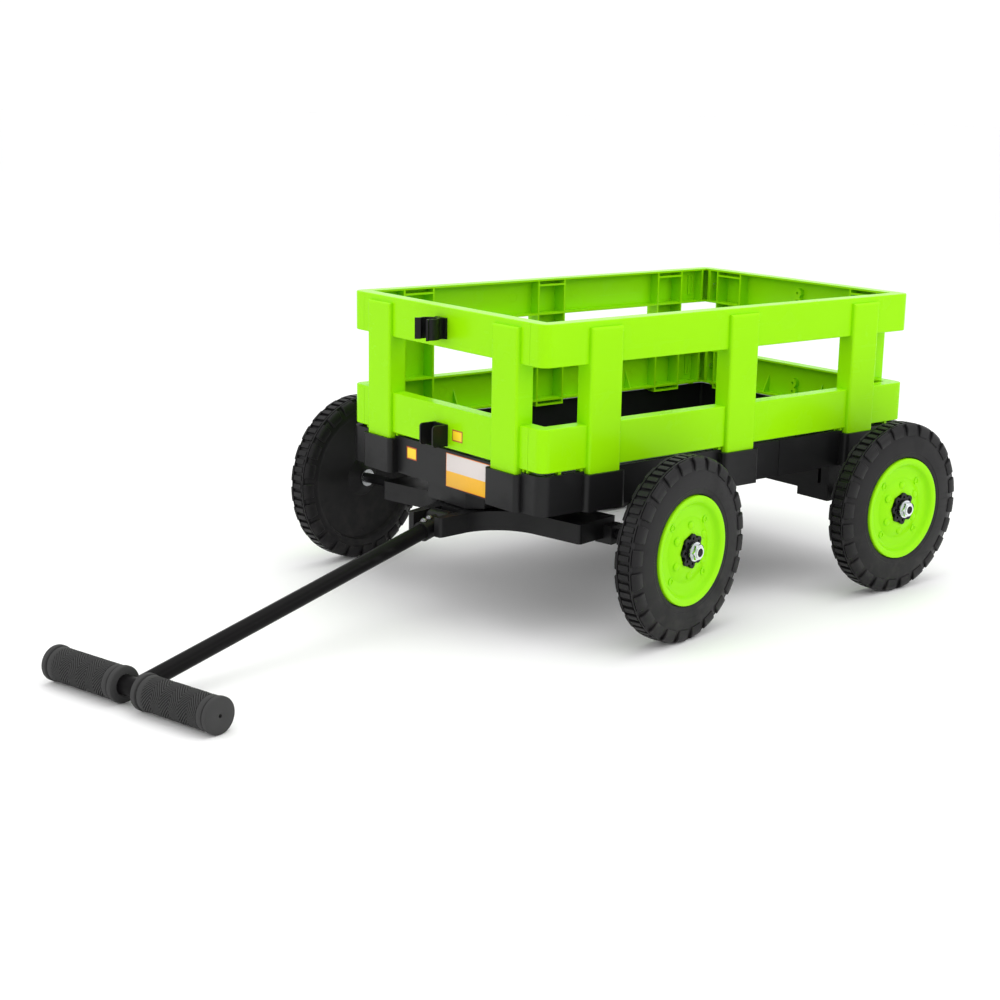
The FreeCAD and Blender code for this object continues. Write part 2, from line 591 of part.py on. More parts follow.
def rear_axle_beam():
    """The moulded rear axle carrier: a hollow web with a deeper block at each end."""
    y = (REAR_AXLE_Y - BEAM_HALF_Y, REAR_AXLE_Y + BEAM_HALF_Y)
    web_z = AXLE_Z + BEAM_WEB_RISE
    parts = [box((-BEAM_HALF, BEAM_HALF), y, (web_z, FLOOR_UNDER))]
    for xs in ((-BEAM_HALF, -BEAM_HALF + BEAM_BLOCK), (BEAM_HALF - BEAM_BLOCK, BEAM_HALF)):
        parts.append(box(xs, y, (AXLE_Z - BEAM_DROP, web_z + 1)))
    solid = fused(parts)
    pocket = BEAM_HALF - BEAM_BLOCK - BEAM_POCKET_INSET
    cuts = [box((-pocket, pocket), (y[0] + MOUNT_WALL, y[1] - MOUNT_WALL),
                (web_z + MOUNT_WALL, FLOOR_UNDER + 1)),
            rod(AXLE_R, Vec(-BEAM_HALF - 1, REAR_AXLE_Y, AXLE_Z), Vec(BEAM_HALF + 1, REAR_AXLE_Y, AXLE_Z))]
    inset, width, depth, margin = BEAM_SLOT
    for sx in (-1, 1):
        slot = sorted((sx * (BEAM_HALF - inset - width), sx * (BEAM_HALF - inset)))
        cuts.append(box(slot, (y[0] - 1, y[0] + depth), (AXLE_Z + margin, FLOOR_UNDER - margin)))
    return solid.cut(cuts + screw_holes(rear_beam_screw_places(), web_z))


# ---- steered carriage, straight ahead ------------------------------------------------------
def carriage():
    """The steered carriage: two arms on the axle and a forward tongue ending in two ears."""
    y0 = KINGPIN_Y
    front, ears = y0 - ARM_REACH, y0 - EAR_REACH
    back = FRONT_AXLE_Y + ARM_BACK + ARM_BLOCK
    flare_in, flare_out = Vec(EAR_OUT + EAR_R, ears + FLARE_START, 0), Vec(FLARE_END, front, 0)
    flare_mid = Vec(FLARE_MID[0], front - FLARE_MID[1], 0)
    edges = []

    def line(a, b):
        edges.append(Part.LineSegment(a, b).toShape())

    def mirrored(p):
        return Vec(-p.x, p.y, p.z)

    tip, root = Vec(EAR_OUT, ears, 0), Vec(0, y0 + BACK_BULGE, 0)
    arm_front, arm_back = Vec(ARM_HALF, front, 0), Vec(ARM_HALF, back, 0)
    hub_side = Vec(BACK_HALF, back, 0)
    line(mirrored(tip), tip)
    line(tip, flare_in)
    edges.append(Part.Arc(flare_in, flare_mid, flare_out).toShape())
    line(flare_out, arm_front)
    line(arm_front, arm_back)
    line(arm_back, hub_side)
    edges.append(Part.Arc(hub_side, root, mirrored(hub_side)).toShape())
    line(mirrored(hub_side), mirrored(arm_back))
    line(mirrored(arm_back), mirrored(arm_front))
    line(mirrored(arm_front), mirrored(flare_out))
    edges.append(Part.Arc(mirrored(flare_out), mirrored(flare_mid), mirrored(flare_in)).toShape())
    line(mirrored(flare_in), mirrored(tip))
    outline = Part.Face(Part.Wire(edges))
    solid = outline.extrude(Vec(0, 0, CARRIAGE_HEIGHT))
    corners = [e for e in solid.Edges if e.BoundBox.ZLength > 1
               and abs(abs(e.CenterOfMass.x) - ARM_HALF) < 0.1]
    corners += [e for e in solid.Edges if e.BoundBox.ZLength > 1
                and abs(abs(e.CenterOfMass.x) - EAR_OUT) < 0.1]
    solid = placed(solid.makeFillet(EAR_R, corners), 0, 0, CARRIAGE_Z)
    lugs = [box((side * ARM_HALF - HUB_LUG, side * ARM_HALF + HUB_LUG),
                (FRONT_AXLE_Y - HUB_LUG, FRONT_AXLE_Y + HUB_LUG),
                (AXLE_Z - LUG_HALF_HEIGHT, AXLE_Z + LUG_HALF_HEIGHT)) for side in (-1, 1)]
    solid = fused([solid] + lugs)
    z = (CARRIAGE_Z - 1, CARRIAGE_TOP + 1)
    axle_end = Vec(LUG_REACH + 1, 0, 0)
    axle_at = Vec(0, FRONT_AXLE_Y, AXLE_Z)
    cuts = [box((-EAR_IN, EAR_IN), (ears - 1, HITCH.y + KNUCKLE_R + KNUCKLE_SLOT_GAP), z),
            rod(HITCH_BOLT_R, HITCH - Vec(EAR_OUT + 1, 0, 0), HITCH + Vec(EAR_OUT + 1, 0, 0)),
            rod(AXLE_R, axle_at - axle_end, axle_at + axle_end),
            rod(KINGPIN_R + RUN_CLEARANCE, Vec(0, y0, z[0]), Vec(0, y0, z[1]))]
    for side in (-1, 1):
        cuts.append(rod(HEAD_POCKET_R, HITCH + Vec(side * (EAR_OUT - HEAD_SEAT), 0, 0),
                        HITCH + Vec(side * (EAR_OUT + 1), 0, 0)))
        xs = sorted((side * (BACK_HALF + ARM_POCKET[0]), side * (ARM_HALF - ARM_POCKET[1])))
        ys = (front + ARM_POCKET[2], FRONT_AXLE_Y - ARM_POCKET[3])
        cuts.append(box(xs, ys, (z[0], CARRIAGE_TOP - ARM_POCKET_TOP)))
    return solid.cut(cuts)


def hitch_bolt():
    """The bolt through the ears and the pole's knuckle, its button head in the right ear."""
    start = HITCH - Vec(EAR_OUT - HEAD_SEAT + HITCH_NUT[1] - 0.2, 0, 0)
    seat = HITCH + Vec(EAR_OUT - HEAD_SEAT, 0, 0)
    shank = rod(HITCH_BOLT_R, start, seat + Vec(0.2, 0, 0))
    dome = Part.makeSphere(HITCH_DOME_R, seat - Vec(HITCH_DOME_R - HITCH_HEAD_HEIGHT, 0, 0))
    head = dome.common(rod(HITCH_HEAD_R, seat, seat + Vec(HITCH_HEAD_HEIGHT + 1, 0, 0)))
    return fused([shank, head])


def hitch_nut():
    """The lock nut in the left ear."""
    seat = -EAR_OUT + HEAD_SEAT
    body = placed(hexagon(HITCH_NUT[0], (seat - HITCH_NUT[1], seat)), 0, HITCH.y, HITCH.z)
    return body.cut(rod(HITCH_BOLT_R, HITCH - Vec(EAR_OUT + 1, 0, 0), HITCH))


def axle(y):
    """A straight steel axle across the cart."""
    end = WHEEL_X + HUB_OUTER + AXIAL_GAP + WASHER[1] + NUT_HEIGHT - AXLE_END_SUNK
    return rod(AXLE_R, Vec(-end, y, AXLE_Z), Vec(end, y, AXLE_Z))


def at_axle(shape, x, y):
    """A shape built along X from x = 0, as a pair at both ends of an axle."""
    pair = both_sides(placed(shape, x, 0, 0))
    return [placed(s, 0, y, AXLE_Z) for s in pair]


def axle_fittings(y, inner_end):
    """Washers, nuts and spacer tubes of one axle, each as a pair of solids or more."""
    outer = WHEEL_X + HUB_OUTER + AXIAL_GAP
    inner = WHEEL_X + HUB_INNER - AXIAL_GAP - WASHER[1]
    spacer = rod(SPACER_R, Vec(0, 0, 0), Vec(inner - inner_end, 0, 0)).cut(
        rod(AXLE_R, Vec(-1, 0, 0), Vec(inner - inner_end + 1, 0, 0)))
    return {
        "washers": at_axle(washer(), outer, y) + at_axle(washer(), inner, y),
        "nuts": at_axle(nut(), outer + WASHER[1], y),
        "spacers": at_axle(spacer, inner_end, y),
    }


# ---- wheels, built about X with the outer side at +X ---------------------------------------
def tyre():
    """The blow-moulded wheel body with its tread, recessed for the rim insert."""
    r, w = WHEEL_RADIUS, TREAD_HALF
    inner_disc, seat_x, seat_r = -w + INNER_RECESS, DISH_FLOOR - RIM_SEAT, RIM_R + SEAT_GAP
    cone_r, disc_r, cone_end = CONE[0], CONE[1], HUB_INNER + CONE[2]
    side, bend, crown = (r - drop for drop in SHOULDER)
    start = (cone_end, SLEEVE_R)
    steps = [(cone_end, cone_r), (inner_disc, disc_r), (inner_disc, r - RECESS_EDGE[0]),
             (-w + 1.0, r - RECESS_EDGE[1]), (-w, side), ((-w + 1.2, bend), (-w + 5, crown)),
             ((0, r), (w - 5, crown)), ((w - 1.2, bend), (w, side)), (w, seat_r + 3),
             (w - SEAT_GAP, seat_r), (seat_x, seat_r), (seat_x, SLEEVE_R)]
    return turned(start, steps)


def rim():
    """The coloured dished insert with ring bosses and domes on its floor."""
    lip, floor, back = RIM_LIP, DISH_FLOOR, DISH_FLOOR - RIM_SEAT
    edge, bend = (RIM_R - step for step in RIM_LIP_IN)
    raised, bore_r = floor + RAISED, HUB_R + 1.2
    start = (back, RIM_R)
    steps = [(lip - 1.2, RIM_R), ((lip - 0.2, RIM_R - 0.5), (lip, RIM_R - 1.6)), (lip - 1.0, edge),
             ((lip - 2.0, bend), (floor + 2.0, DISH_R + 0.8)), ((floor + 0.5, DISH_R), (floor, DISH_R - 1.5)),
             (floor, RAISED_R + RAISED), (raised, RAISED_R), (floor + CONE_RISE, CONE_TOP_R),
             (floor + CONE_RISE, bore_r), (floor - RIM_WALL, bore_r),
             (floor - RIM_WALL, DISH_R - 3), (back, DISH_R)]
    extras = []
    count, circle, outer_r, inner_r, height = RING_BOSSES
    for i in range(count):
        angle = math.radians(45 + 360 / count * i)
        at = Vec(floor - 0.5, circle * math.cos(angle), circle * math.sin(angle))
        ring = rod(outer_r, at, at + Vec(height + 0.5, 0, 0))
        extras.append(ring.cut(rod(inner_r, at - Vec(1, 0, 0), at + Vec(height + 1, 0, 0))))
    count, circle, radius, sink = DOMES
    slope = (CONE_RISE - RAISED) / (RAISED_R - CONE_TOP_R)
    cone = raised + (RAISED_R - circle) * slope
    for i in range(count):
        angle = math.radians(30 + 360 / count * i)
        dome = Part.makeSphere(radius, Vec(cone - sink, circle * math.cos(angle), circle * math.sin(angle)))
        extras.append(dome.common(box((floor - 0.5, cone + radius), (-RIM_R, RIM_R), (-RIM_R, RIM_R))))
    return fused([turned(start, steps)] + extras)


def hub():
    """The lobed hub flange on the outer face, in one piece with its bearing sleeve."""
    lobe_r, lobe_in, thickness = LOBE
    hole_r, hole_depth = LOBE_HOLE
    flange = [rod(HUB_R - 1.5, Vec(DISH_FLOOR - RIM_SEAT, 0, 0), Vec(HUB_FACE, 0, 0))]
    holes = []
    for i in range(HUB_LOBES):
        angle = 2 * math.pi * i / HUB_LOBES
        out = Vec(0, math.cos(angle), math.sin(angle))
        centre = Vec(HUB_FACE, 0, 0) + out * (HUB_R - lobe_in)
        flange.append(rod(lobe_r, centre - Vec(thickness, 0, 0), centre))
        holes.append(rod(hole_r, centre - Vec(hole_depth, 0, 0) - out, centre + Vec(1, 0, 0) - out))
    flange.append(rod(SLEEVE_R, Vec(HUB_INNER, 0, 0), Vec(HUB_OUTER, 0, 0)))
    flange.append(rod(HUB_BOSS_R, Vec(HUB_FACE - 1, 0, 0), Vec(HUB_OUTER, 0, 0)))
    bore = rod(AXLE_R + RUN_CLEARANCE, Vec(HUB_INNER - 1, 0, 0), Vec(HUB_OUTER + 1, 0, 0))
    return fused(flange).cut(holes + [bore])


# ---- handle, built pointing along -Y and level, then lowered -------------------------------
def handle():
    """The pole, its knuckle, the cross tube and the two grips."""
    far = HITCH + Vec(0, -HANDLE_LENGTH, 0)
    half = EAR_IN - AXIAL_GAP
    ears = Vec(EAR_OUT, 0, 0)
    reach, wall = SOCKET
    knuckle = rod(KNUCKLE_R, HITCH - Vec(half, 0, 0), HITCH + Vec(half, 0, 0))
    rims = [e for e in knuckle.Edges if e.Curve.TypeId == "Part::GeomCircle"]
    knuckle = knuckle.makeFillet(KNUCKLE_EDGE_R, rims)
    socket = rod(POLE_R + wall, HITCH, HITCH - Vec(0, reach, 0))
    start = HITCH - Vec(0, POLE_START, 0)
    bolt_hole = rod(HITCH_BOLT_R + RUN_CLEARANCE, HITCH - ears, HITCH + ears)
    shank_r, dome_r, sink = KNUCKLE_SCREW
    screws = []
    for along in KNUCKLE_SCREWS:
        top = HITCH + Vec(0, -along, POLE_R + wall)
        foot = top - Vec(0, 0, wall + POLE_WALL + 3.5)
        above = rod(dome_r, top - Vec(0, 0, 0.2), top + Vec(0, 0, dome_r))
        head = Part.makeSphere(dome_r, top - Vec(0, 0, sink)).common(above)
        screws.append(fused([head, rod(shank_r, foot, top + Vec(0, 0, 0.6))]))
    knuckle = fused([knuckle, socket]).cut([rod(POLE_R, start, far), bolt_hole] + screws)
    cross_half = Vec(GRIP_GAP / 2 + GRIP_LENGTH - GRIP_END, 0, 0)
    bar = rod(CROSS_R, far - cross_half, far + cross_half)
    bore = rod(CROSS_R - POLE_WALL, far - cross_half * 1.1, far + cross_half * 1.1)
    grip = placed(turned((0, CROSS_R), grip_outline()), GRIP_GAP / 2)
    grips = [placed(s, far.x, far.y, far.z) for s in both_sides(grip)]
    droop = math.radians(HANDLE_DROOP)
    lowered_upright = Vec(0, math.sin(droop), math.cos(droop))
    for shape in [bar, bore] + grips:
        shape.rotate(far, lowered_upright, CROSS_SKEW)
    pole = rod(POLE_R, start, far).cut([rod(POLE_R - POLE_WALL, start + Vec(0, 1, 0), far), bar] + screws)
    parts = {
        "pole_knuckle": [knuckle],
        "knuckle_screws": screws,
        "draw_pole": [pole],
        "cross_tube": [bar.cut(bore)],
        "grip_right": [grips[0]],
        "grip_left": [grips[1]],
    }
    for shapes in parts.values():
        for shape in shapes:
            shape.rotate(HITCH, X_AXIS, HANDLE_DROOP)
    return parts


def grip_outline():
    """A rubber grip from its inner guard to its closed outer end, along X from x = 0."""
    end, flange, groove_r = GRIP_LENGTH, GRIP_FLANGE_R, GRIP_R - GRIP_GROOVE
    radii = (flange, groove_r, groove_r, GRIP_R)
    inner_bands = list(zip(GRIP_BAND, radii))
    outer_bands = [(end - x, radius) for x, radius in reversed(inner_bands)]
    return ([(0, flange - 1), ((0.3, flange - 0.3), (1, flange))] + inner_bands + outer_bands
            + [(end - 1, flange), ((end - 0.3, flange - 0.3), (end, flange - 1)), (end, GRIP_HOLE_R),
               (end - GRIP_END, GRIP_HOLE_R), (end - GRIP_END, CROSS_R)])


# ---- pole clips and labels on the front ----------------------------------------------------
def clips():
    """The two clips on the front panel that hold the raised pole."""
    face, pole_y = -HALF_L, HITCH.y
    (low, low_top), (top, top_top) = [above_tray((z, z + high)) for z, high in zip(CLIP_Z, CLIP_HEIGHT)]
    low_half, top_half, plate = CLIP_PLATE
    lower = [box((-low_half, low_half), (face - plate, face), (low, low_top))]
    for side in (-1, 1):
        wall = sorted((side * (low_half - CLIP_WALL), side * low_half))
        lower.append(box(wall, (face - CLIP_REACH, face - 1), (low, low_top)))
    lower = fused(lower)
    fronts = [e for e in lower.Edges if abs(e.CenterOfMass.y - (face - CLIP_REACH)) < 0.01
              and e.BoundBox.ZLength < 0.01]
    lower = lower.makeFillet(CLIP_WALL_R, fronts)
    centre, height = Vec(0, pole_y, top), Vec(0, 0, top_top - top)
    ring = rod(CLIP_RING_R, centre, centre + height).cut(rod(POLE_R + CLIP_SPRING_GAP, centre, centre + height))
    wide = 3 * POLE_R
    mouth = [(0, pole_y + 3), (-wide, pole_y + 3 - wide), (wide, pole_y + 3 - wide)]
    ring = ring.cut(prism(mouth, (top - 1, top_top + 1)))
    thick, length, spread = CLIP_LIP
    lips = [placed(about_z(box(sorted((0, side * thick)), (-length, 0), (top, top_top)), side * spread),
                   side * CLIP_LIP_AT[0], pole_y - CLIP_LIP_AT[1]) for side in (-1, 1)]
    back = box((-top_half, top_half), (face - plate, face), (top, top_top))
    neck = box((-CLIP_NECK, CLIP_NECK), (pole_y + POLE_R + CLIP_SPRING_GAP + 0.1, face - 1), (top, top_top))
    upper = fused([back, neck, ring] + lips)
    holes = [rod(PANEL_SCREW_R, Vec(0, face - plate, z), Vec(0, face + 1, z)) for z in clip_screw_heights()]
    return upper.cut(holes), lower.cut(holes)


def clip_screws():
    """Screws from inside the front panel into the clips."""
    head_r, head_height = PANEL_SCREW_HEAD
    seat = -HALF_L + SKIN + BOSS[1]
    screws = []
    for z in clip_screw_heights():
        head = rod(head_r, Vec(0, seat, z), Vec(0, seat + head_height, z))
        shank = rod(PANEL_SCREW_R, Vec(0, -HALF_L - CLIP_PLATE[2] + 0.2, z), Vec(0, seat + 0.2, z))
        screws.append(fused([head, shank]))
    return screws


def labels():
    """Blank stickers: one on the lower rail, a small and a large one on the tray's front."""
    left_bulge, right_bulge = END_POSTS[0] + PAD_WIDTH / 2, END_POSTS[1] - PAD_WIDTH / 2
    inset, small_z, small_width, small_height = SMALL_LABEL
    large_x, large_z, gap, large_height = LARGE_LABEL
    small = (left_bulge + inset, small_z, small_width, small_height)
    large = (large_x, large_z, right_bulge - gap - large_x, large_height)
    spots = [(RAIL_LABEL, -HALF_L)] + [(label, -HALF_L + TRAY_RECESS) for label in (small, large)]
    return [box((x, x + width), (face - LABEL_THICKNESS, face), above_tray((z, z + high)))
            for (x, z, width, high), face in spots]


# ---- assembly ------------------------------------------------------------------------------
def fixed_parts():
    """Everything that belongs to the bed."""
    nodes = {name: [shape] for name, shape in panels().items()}
    nodes["tray"] = [tray()]
    nodes["panel_corner_screws"] = corner_screws()
    upper, lower = clips()
    nodes["upper_clip"], nodes["lower_clip"] = [upper], [lower]
    nodes["clip_screws"] = clip_screws()
    nodes["labels"] = labels()
    nodes["steering_mount"] = [steering_mount()]
    nodes["mount_screws"] = upward_screws(mount_screw_places(), MOUNT_Z)
    bearing = rod(BEARING_R, Vec(0, KINGPIN_Y, BEARING_Z), Vec(0, KINGPIN_Y, MOUNT_Z))
    pin_hole = rod(KINGPIN_R, Vec(0, KINGPIN_Y, BEARING_Z - 1), Vec(0, KINGPIN_Y, MOUNT_Z + 1))
    nodes["steering_bearing"] = [bearing.cut(pin_hole)]
    nodes["kingpin"] = [kingpin()]
    low_washer, low_nut = washer(KINGPIN_R), nut(KINGPIN_R)
    for shape in (low_washer, low_nut):
        shape.rotate(Vec(0, 0, 0), Y_AXIS, 90)
    nodes["kingpin_washer"] = [placed(low_washer, 0, KINGPIN_Y, KINGPIN_WASHER_Z + WASHER[1])]
    nodes["kingpin_nut"] = [placed(low_nut, 0, KINGPIN_Y, KINGPIN_WASHER_Z)]
    nodes["rear_axle_beam"] = [rear_axle_beam()]
    nodes["rear_beam_screws"] = upward_screws(rear_beam_screw_places(), AXLE_Z + BEAM_WEB_RISE)
    nodes["rear_axle"] = [axle(REAR_AXLE_Y)]
    for name, shapes in axle_fittings(REAR_AXLE_Y, BEAM_HALF).items():
        nodes["rear_" + name] = shapes
    return nodes


def wheel_nodes():
    """The four wheels, each as tyre, rim and hub."""
    nodes = {}
    pieces = {"tyre": tyre(), "rim": rim(), "hub": hub()}
    for end, y in (("front", FRONT_AXLE_Y), ("rear", REAR_AXLE_Y)):
        for side, turn in (("right", 0), ("left", 180)):
            for name, shape in pieces.items():
                whole = about_z(placed(shape, WHEEL_X), turn)
                nodes[f"{name}_{end}_{side}"] = [placed(whole, 0, y, AXLE_Z)]
    return nodes


def steered_parts():
    """The carriage with its axle and hitch, straight ahead."""
    nodes = {"steering_carriage": [carriage()], "front_axle": [axle(FRONT_AXLE_Y)],
             "hitch_bolt": [hitch_bolt()], "hitch_nut": [hitch_nut()]}
    for name, shapes in axle_fittings(FRONT_AXLE_Y, LUG_REACH).items():
        nodes["front_" + name] = shapes
    return nodes


def main():
    """Build every node, turn the steered ones, shift the origin and write the files."""
    nodes = fixed_parts()
    steered = {**steered_parts(), **handle()}
    for name, shapes in wheel_nodes().items():
        (steered if "_front_" in name else nodes)[name] = shapes
    centre = Vec(0, KINGPIN_Y, 0)
    for name, shapes in steered.items():
        nodes[name] = [about_z(shape, STEER_AT_REST, centre) for shape in shapes]
    whole = FreeCAD.BoundBox()
    for shape in (shape for shapes in nodes.values() for shape in shapes):
        whole.add(shape.optimalBoundingBox(False, False))
    shift = Vec(-whole.Center.x, -whole.Center.y, 0)
    os.makedirs("parts", exist_ok=True)
    for name, shapes in nodes.items():
        moved = [placed(shape, shift.x, shift.y) for shape in shapes]
        solids = [solid for shape in moved for solid in shape.Solids]
        print(name, len(solids), "solid(s)", all(s.isValid() for s in solids))
        (solids[0] if len(solids) == 1 else Part.Compound(solids)).exportStep(f"parts/{name}.step")
    print("overall", round(whole.XLength, 2), round(whole.YLength, 2), round(whole.ZLength, 2),
          "lowest", round(whole.ZMin, 3))
    print("shift", round(shift.x, 4), round(shift.y, 4), "droop", round(HANDLE_DROOP, 4))


main()
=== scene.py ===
"""Garden pull cart: the looks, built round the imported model.

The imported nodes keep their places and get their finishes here.  The wheels' treaded bodies, the
rubber grips and the stickers are modelled anew, and the box gets the small moulded details of its
inner faces.  Metres, +Z up, handle towards -Y.
"""
import json
import logging
import math
from dataclasses import dataclass
from enum import Enum
from typing import Callable, Iterable, Sequence, Union

import bpy
from mathutils import Matrix, Vector


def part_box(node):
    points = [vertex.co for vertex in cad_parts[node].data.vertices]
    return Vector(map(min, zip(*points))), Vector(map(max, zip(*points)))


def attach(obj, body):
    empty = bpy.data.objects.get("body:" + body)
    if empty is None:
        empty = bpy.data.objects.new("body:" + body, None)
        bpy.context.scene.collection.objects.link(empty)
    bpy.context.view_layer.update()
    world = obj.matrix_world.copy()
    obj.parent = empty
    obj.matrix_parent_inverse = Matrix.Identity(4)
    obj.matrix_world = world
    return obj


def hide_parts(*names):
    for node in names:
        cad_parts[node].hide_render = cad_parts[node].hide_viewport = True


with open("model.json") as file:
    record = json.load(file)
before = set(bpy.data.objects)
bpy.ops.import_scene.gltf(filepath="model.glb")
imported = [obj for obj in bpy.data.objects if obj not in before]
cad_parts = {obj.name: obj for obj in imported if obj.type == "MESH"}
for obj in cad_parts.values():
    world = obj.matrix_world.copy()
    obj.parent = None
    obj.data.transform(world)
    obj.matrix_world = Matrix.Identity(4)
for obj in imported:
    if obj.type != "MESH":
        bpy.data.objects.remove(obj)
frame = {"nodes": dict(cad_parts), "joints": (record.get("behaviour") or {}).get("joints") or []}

MM = 0.001
LOG = logging.getLogger("cart")
DOUBLES = 1e-6      # metres; points nearer than this are one
TOUCH = 1e-4        # metres; faces whose boxes are nearer than this belong together
UP = Vector((0, 0, 1))
Point = Sequence[float]


# ---- modelling helpers ---------------------------------------------------------------------------
def select_nothing() -> None:
    """Leave edit mode and drop every selected object."""
    if bpy.context.object and bpy.context.object.mode != "OBJECT":
        bpy.ops.object.mode_set(mode="OBJECT")
    bpy.ops.object.select_all(action="DESELECT")


def take(piece: bpy.types.Object) -> bpy.types.Object:
    """Make one object the only selected and active one.

    Args:
        piece: the object.

    Returns:
        The same object.
    """
    select_nothing()
    piece.select_set(True)
    bpy.context.view_layer.objects.active = piece
    return piece


def pick(piece: bpy.types.Object, wanted: Callable[[Vector], bool], kind: str = "VERT") -> None:
    """Select vertices or faces of the piece in edit mode by their place.

    Args:
        piece: the object being edited.
        wanted: says of a vertex's place or a face's centre whether it is taken.
        kind: "VERT" or "FACE".
    """
    bpy.ops.object.mode_set(mode="OBJECT")
    mesh = piece.data
    for group in (mesh.vertices, mesh.edges, mesh.polygons):
        group.foreach_set("select", [False] * len(group))
    if kind == "FACE":
        for face in mesh.polygons:
            face.select = wanted(face.center)
    else:
        for vertex in mesh.vertices:
            vertex.select = wanted(vertex.co)
    bpy.ops.object.mode_set(mode="EDIT")
    bpy.ops.mesh.select_mode(type=kind)


def begin(name: str) -> bpy.types.Object:
    """Name the new primitive, and go into edit mode with all of it selected.

    Args:
        name: the name of the object and its mesh.

    Returns:
        The object.
    """
    piece = bpy.context.object
    piece.name = name
    piece.data.name = name
    bpy.ops.object.mode_set(mode="EDIT")
    bpy.ops.mesh.select_all(action="SELECT")
    return piece


def chain(name: str, points: Sequence[Point]) -> bpy.types.Object:
    """A line of edges through points, drawn by extruding one vertex.

    Args:
        name: the object's name.
        points: places in (x, radius), in millimetres; the radius is drawn along +Z.

    Returns:
        The object, still in edit mode with its last vertex selected.
    """
    select_nothing()
    bpy.ops.mesh.primitive_plane_add(size=MM, location=(points[0][0] * MM, 0, points[0][1] * MM))
    piece = begin(name)
    bpy.ops.mesh.merge(type="CENTER")
    for before, after in zip(points, points[1:]):
        step = ((after[0] - before[0]) * MM, 0, (after[1] - before[1]) * MM)
        bpy.ops.mesh.extrude_region_move(TRANSFORM_OT_translate={"value": step})
    return piece


def place_in_mesh(piece: bpy.types.Object) -> bpy.types.Object:
    """Put an object's place, turn and scale in its mesh.

    Args:
        piece: the object.

    Returns:
        The same object, selected and out of edit mode.
    """
    take(piece)
    bpy.ops.object.transform_apply(location=True, rotation=True, scale=True)
    return piece


def settle(piece: bpy.types.Object, angle: float = 35.0, recalc: bool = True) -> bpy.types.Object:
    """Join doubles, point the faces outwards, smooth the shading and put the place in the mesh.

    Args:
        piece: the object to finish.
        angle: faces meeting more sharply than this, in degrees, keep a hard edge.
        recalc: whether the normals are worked out again.

    Returns:
        The same object.
    """
    place_in_mesh(piece)
    bpy.ops.object.mode_set(mode="EDIT")
    bpy.ops.mesh.select_all(action="SELECT")
    bpy.ops.mesh.remove_doubles(threshold=DOUBLES)
    if recalc:
        bpy.ops.mesh.normals_make_consistent(inside=False)
    bpy.ops.object.mode_set(mode="OBJECT")
    bpy.ops.object.shade_smooth_by_angle(angle=math.radians(angle))
    return piece


def lathe(name: str, outline: Sequence[Point], steps: int, angle: float = 35.0) -> bpy.types.Object:
    """A body of revolution about X.

    Args:
        name: the object's name.
        outline: its section in (x, radius), in millimetres.
        steps: how many steps the turn takes.
        angle: faces meeting more sharply than this, in degrees, keep a hard edge.

    Returns:
        The object.
    """
    piece = chain(name, outline)
    bpy.ops.mesh.select_all(action="SELECT")
    bpy.ops.mesh.spin(steps=steps, angle=math.tau, center=(0, 0, 0), axis=(1, 0, 0))
    return settle(piece, angle)


def ring_of_blocks(name: str, section: Sequence[Point], width: float, radius: float, count: int,
                   bevel: float, slices: int = 2) -> bpy.types.Object:
    """Equal blocks round the X axis, each a section swept a little way round and bevelled.

    Args:
        name: the object's name.
        section: the block's closed outline in (x, radius), in millimetres.
        width: the block's width round the circle, in millimetres.
        radius: the radius that the width is measured at.
        count: how many blocks.
        bevel: the bevel's width, in millimetres.
        slices: how many steps the sweep takes.

    Returns:
        All the blocks as one object.
    """
    piece = chain(name, section)
    bpy.ops.mesh.select_all(action="SELECT")
    bpy.ops.mesh.edge_face_add()
    sweep = width / radius
    bpy.ops.mesh.spin(steps=slices, angle=sweep, center=(0, 0, 0), axis=(1, 0, 0))
    bpy.ops.mesh.select_all(action="SELECT")
    bpy.ops.mesh.remove_doubles(threshold=1e-7)
    bpy.ops.mesh.normals_make_consistent(inside=False)
    bpy.ops.object.mode_set(mode="OBJECT")
    softener = piece.modifiers.new("soft_edges", "BEVEL")
    softener.width = bevel * MM
    softener.segments = 1
    softener.limit_method = "ANGLE"
    softener.angle_limit = math.radians(32)
    take(piece)
    bpy.ops.object.modifier_apply(modifier=softener.name)
    bpy.ops.object.mode_set(mode="EDIT")
    bpy.ops.mesh.select_all(action="SELECT")
    bpy.ops.mesh.spin(steps=count - 1, dupli=True, angle=math.tau * (count - 1) / count,
                      center=(0, 0, 0), axis=(1, 0, 0))
    return settle(piece, 30)


def join(name: str, pieces: Sequence[bpy.types.Object]) -> bpy.types.Object:
    """One object from several.

    Args:
        name: its name.
        pieces: the objects, the first of which takes in the others.

    Returns:
        The first object.
    """
    select_nothing()
    for piece in pieces:
        piece.select_set(True)
    bpy.context.view_layer.objects.active = pieces[0]
    bpy.ops.object.join()
    pieces[0].name = name
    pieces[0].data.name = name
    return pieces[0]


def copy_at(piece: bpy.types.Object, name: str, place: Matrix) -> bpy.types.Object:
    """A copy with a mesh of its own, with its place put in the mesh.

    Args:
        piece: the object to copy.
        name: the copy's name.
        place: where the copy goes, as a turn and a move of the pattern.

    Returns:
        The copy.
    """
    twin = piece.copy()
    twin.data = piece.data.copy()
    twin.name = name
    twin.data.name = name
    bpy.context.scene.collection.objects.link(twin)
    twin.matrix_world = place
    return place_in_mesh(twin)


def copies_at(pattern: bpy.types.Object, places: Iterable[Matrix]) -> list[bpy.types.Object]:
    """Copies of a pattern, which itself is removed.

    Args:
        pattern: the object that was modelled once.
        places: where each copy goes.

    Returns:
        The copies, each with a mesh of its own.
    """
    copies = [copy_at(pattern, f"{pattern.name}_{i}", place) for i, place in enumerate(places)]
    drop(pattern)
    return copies


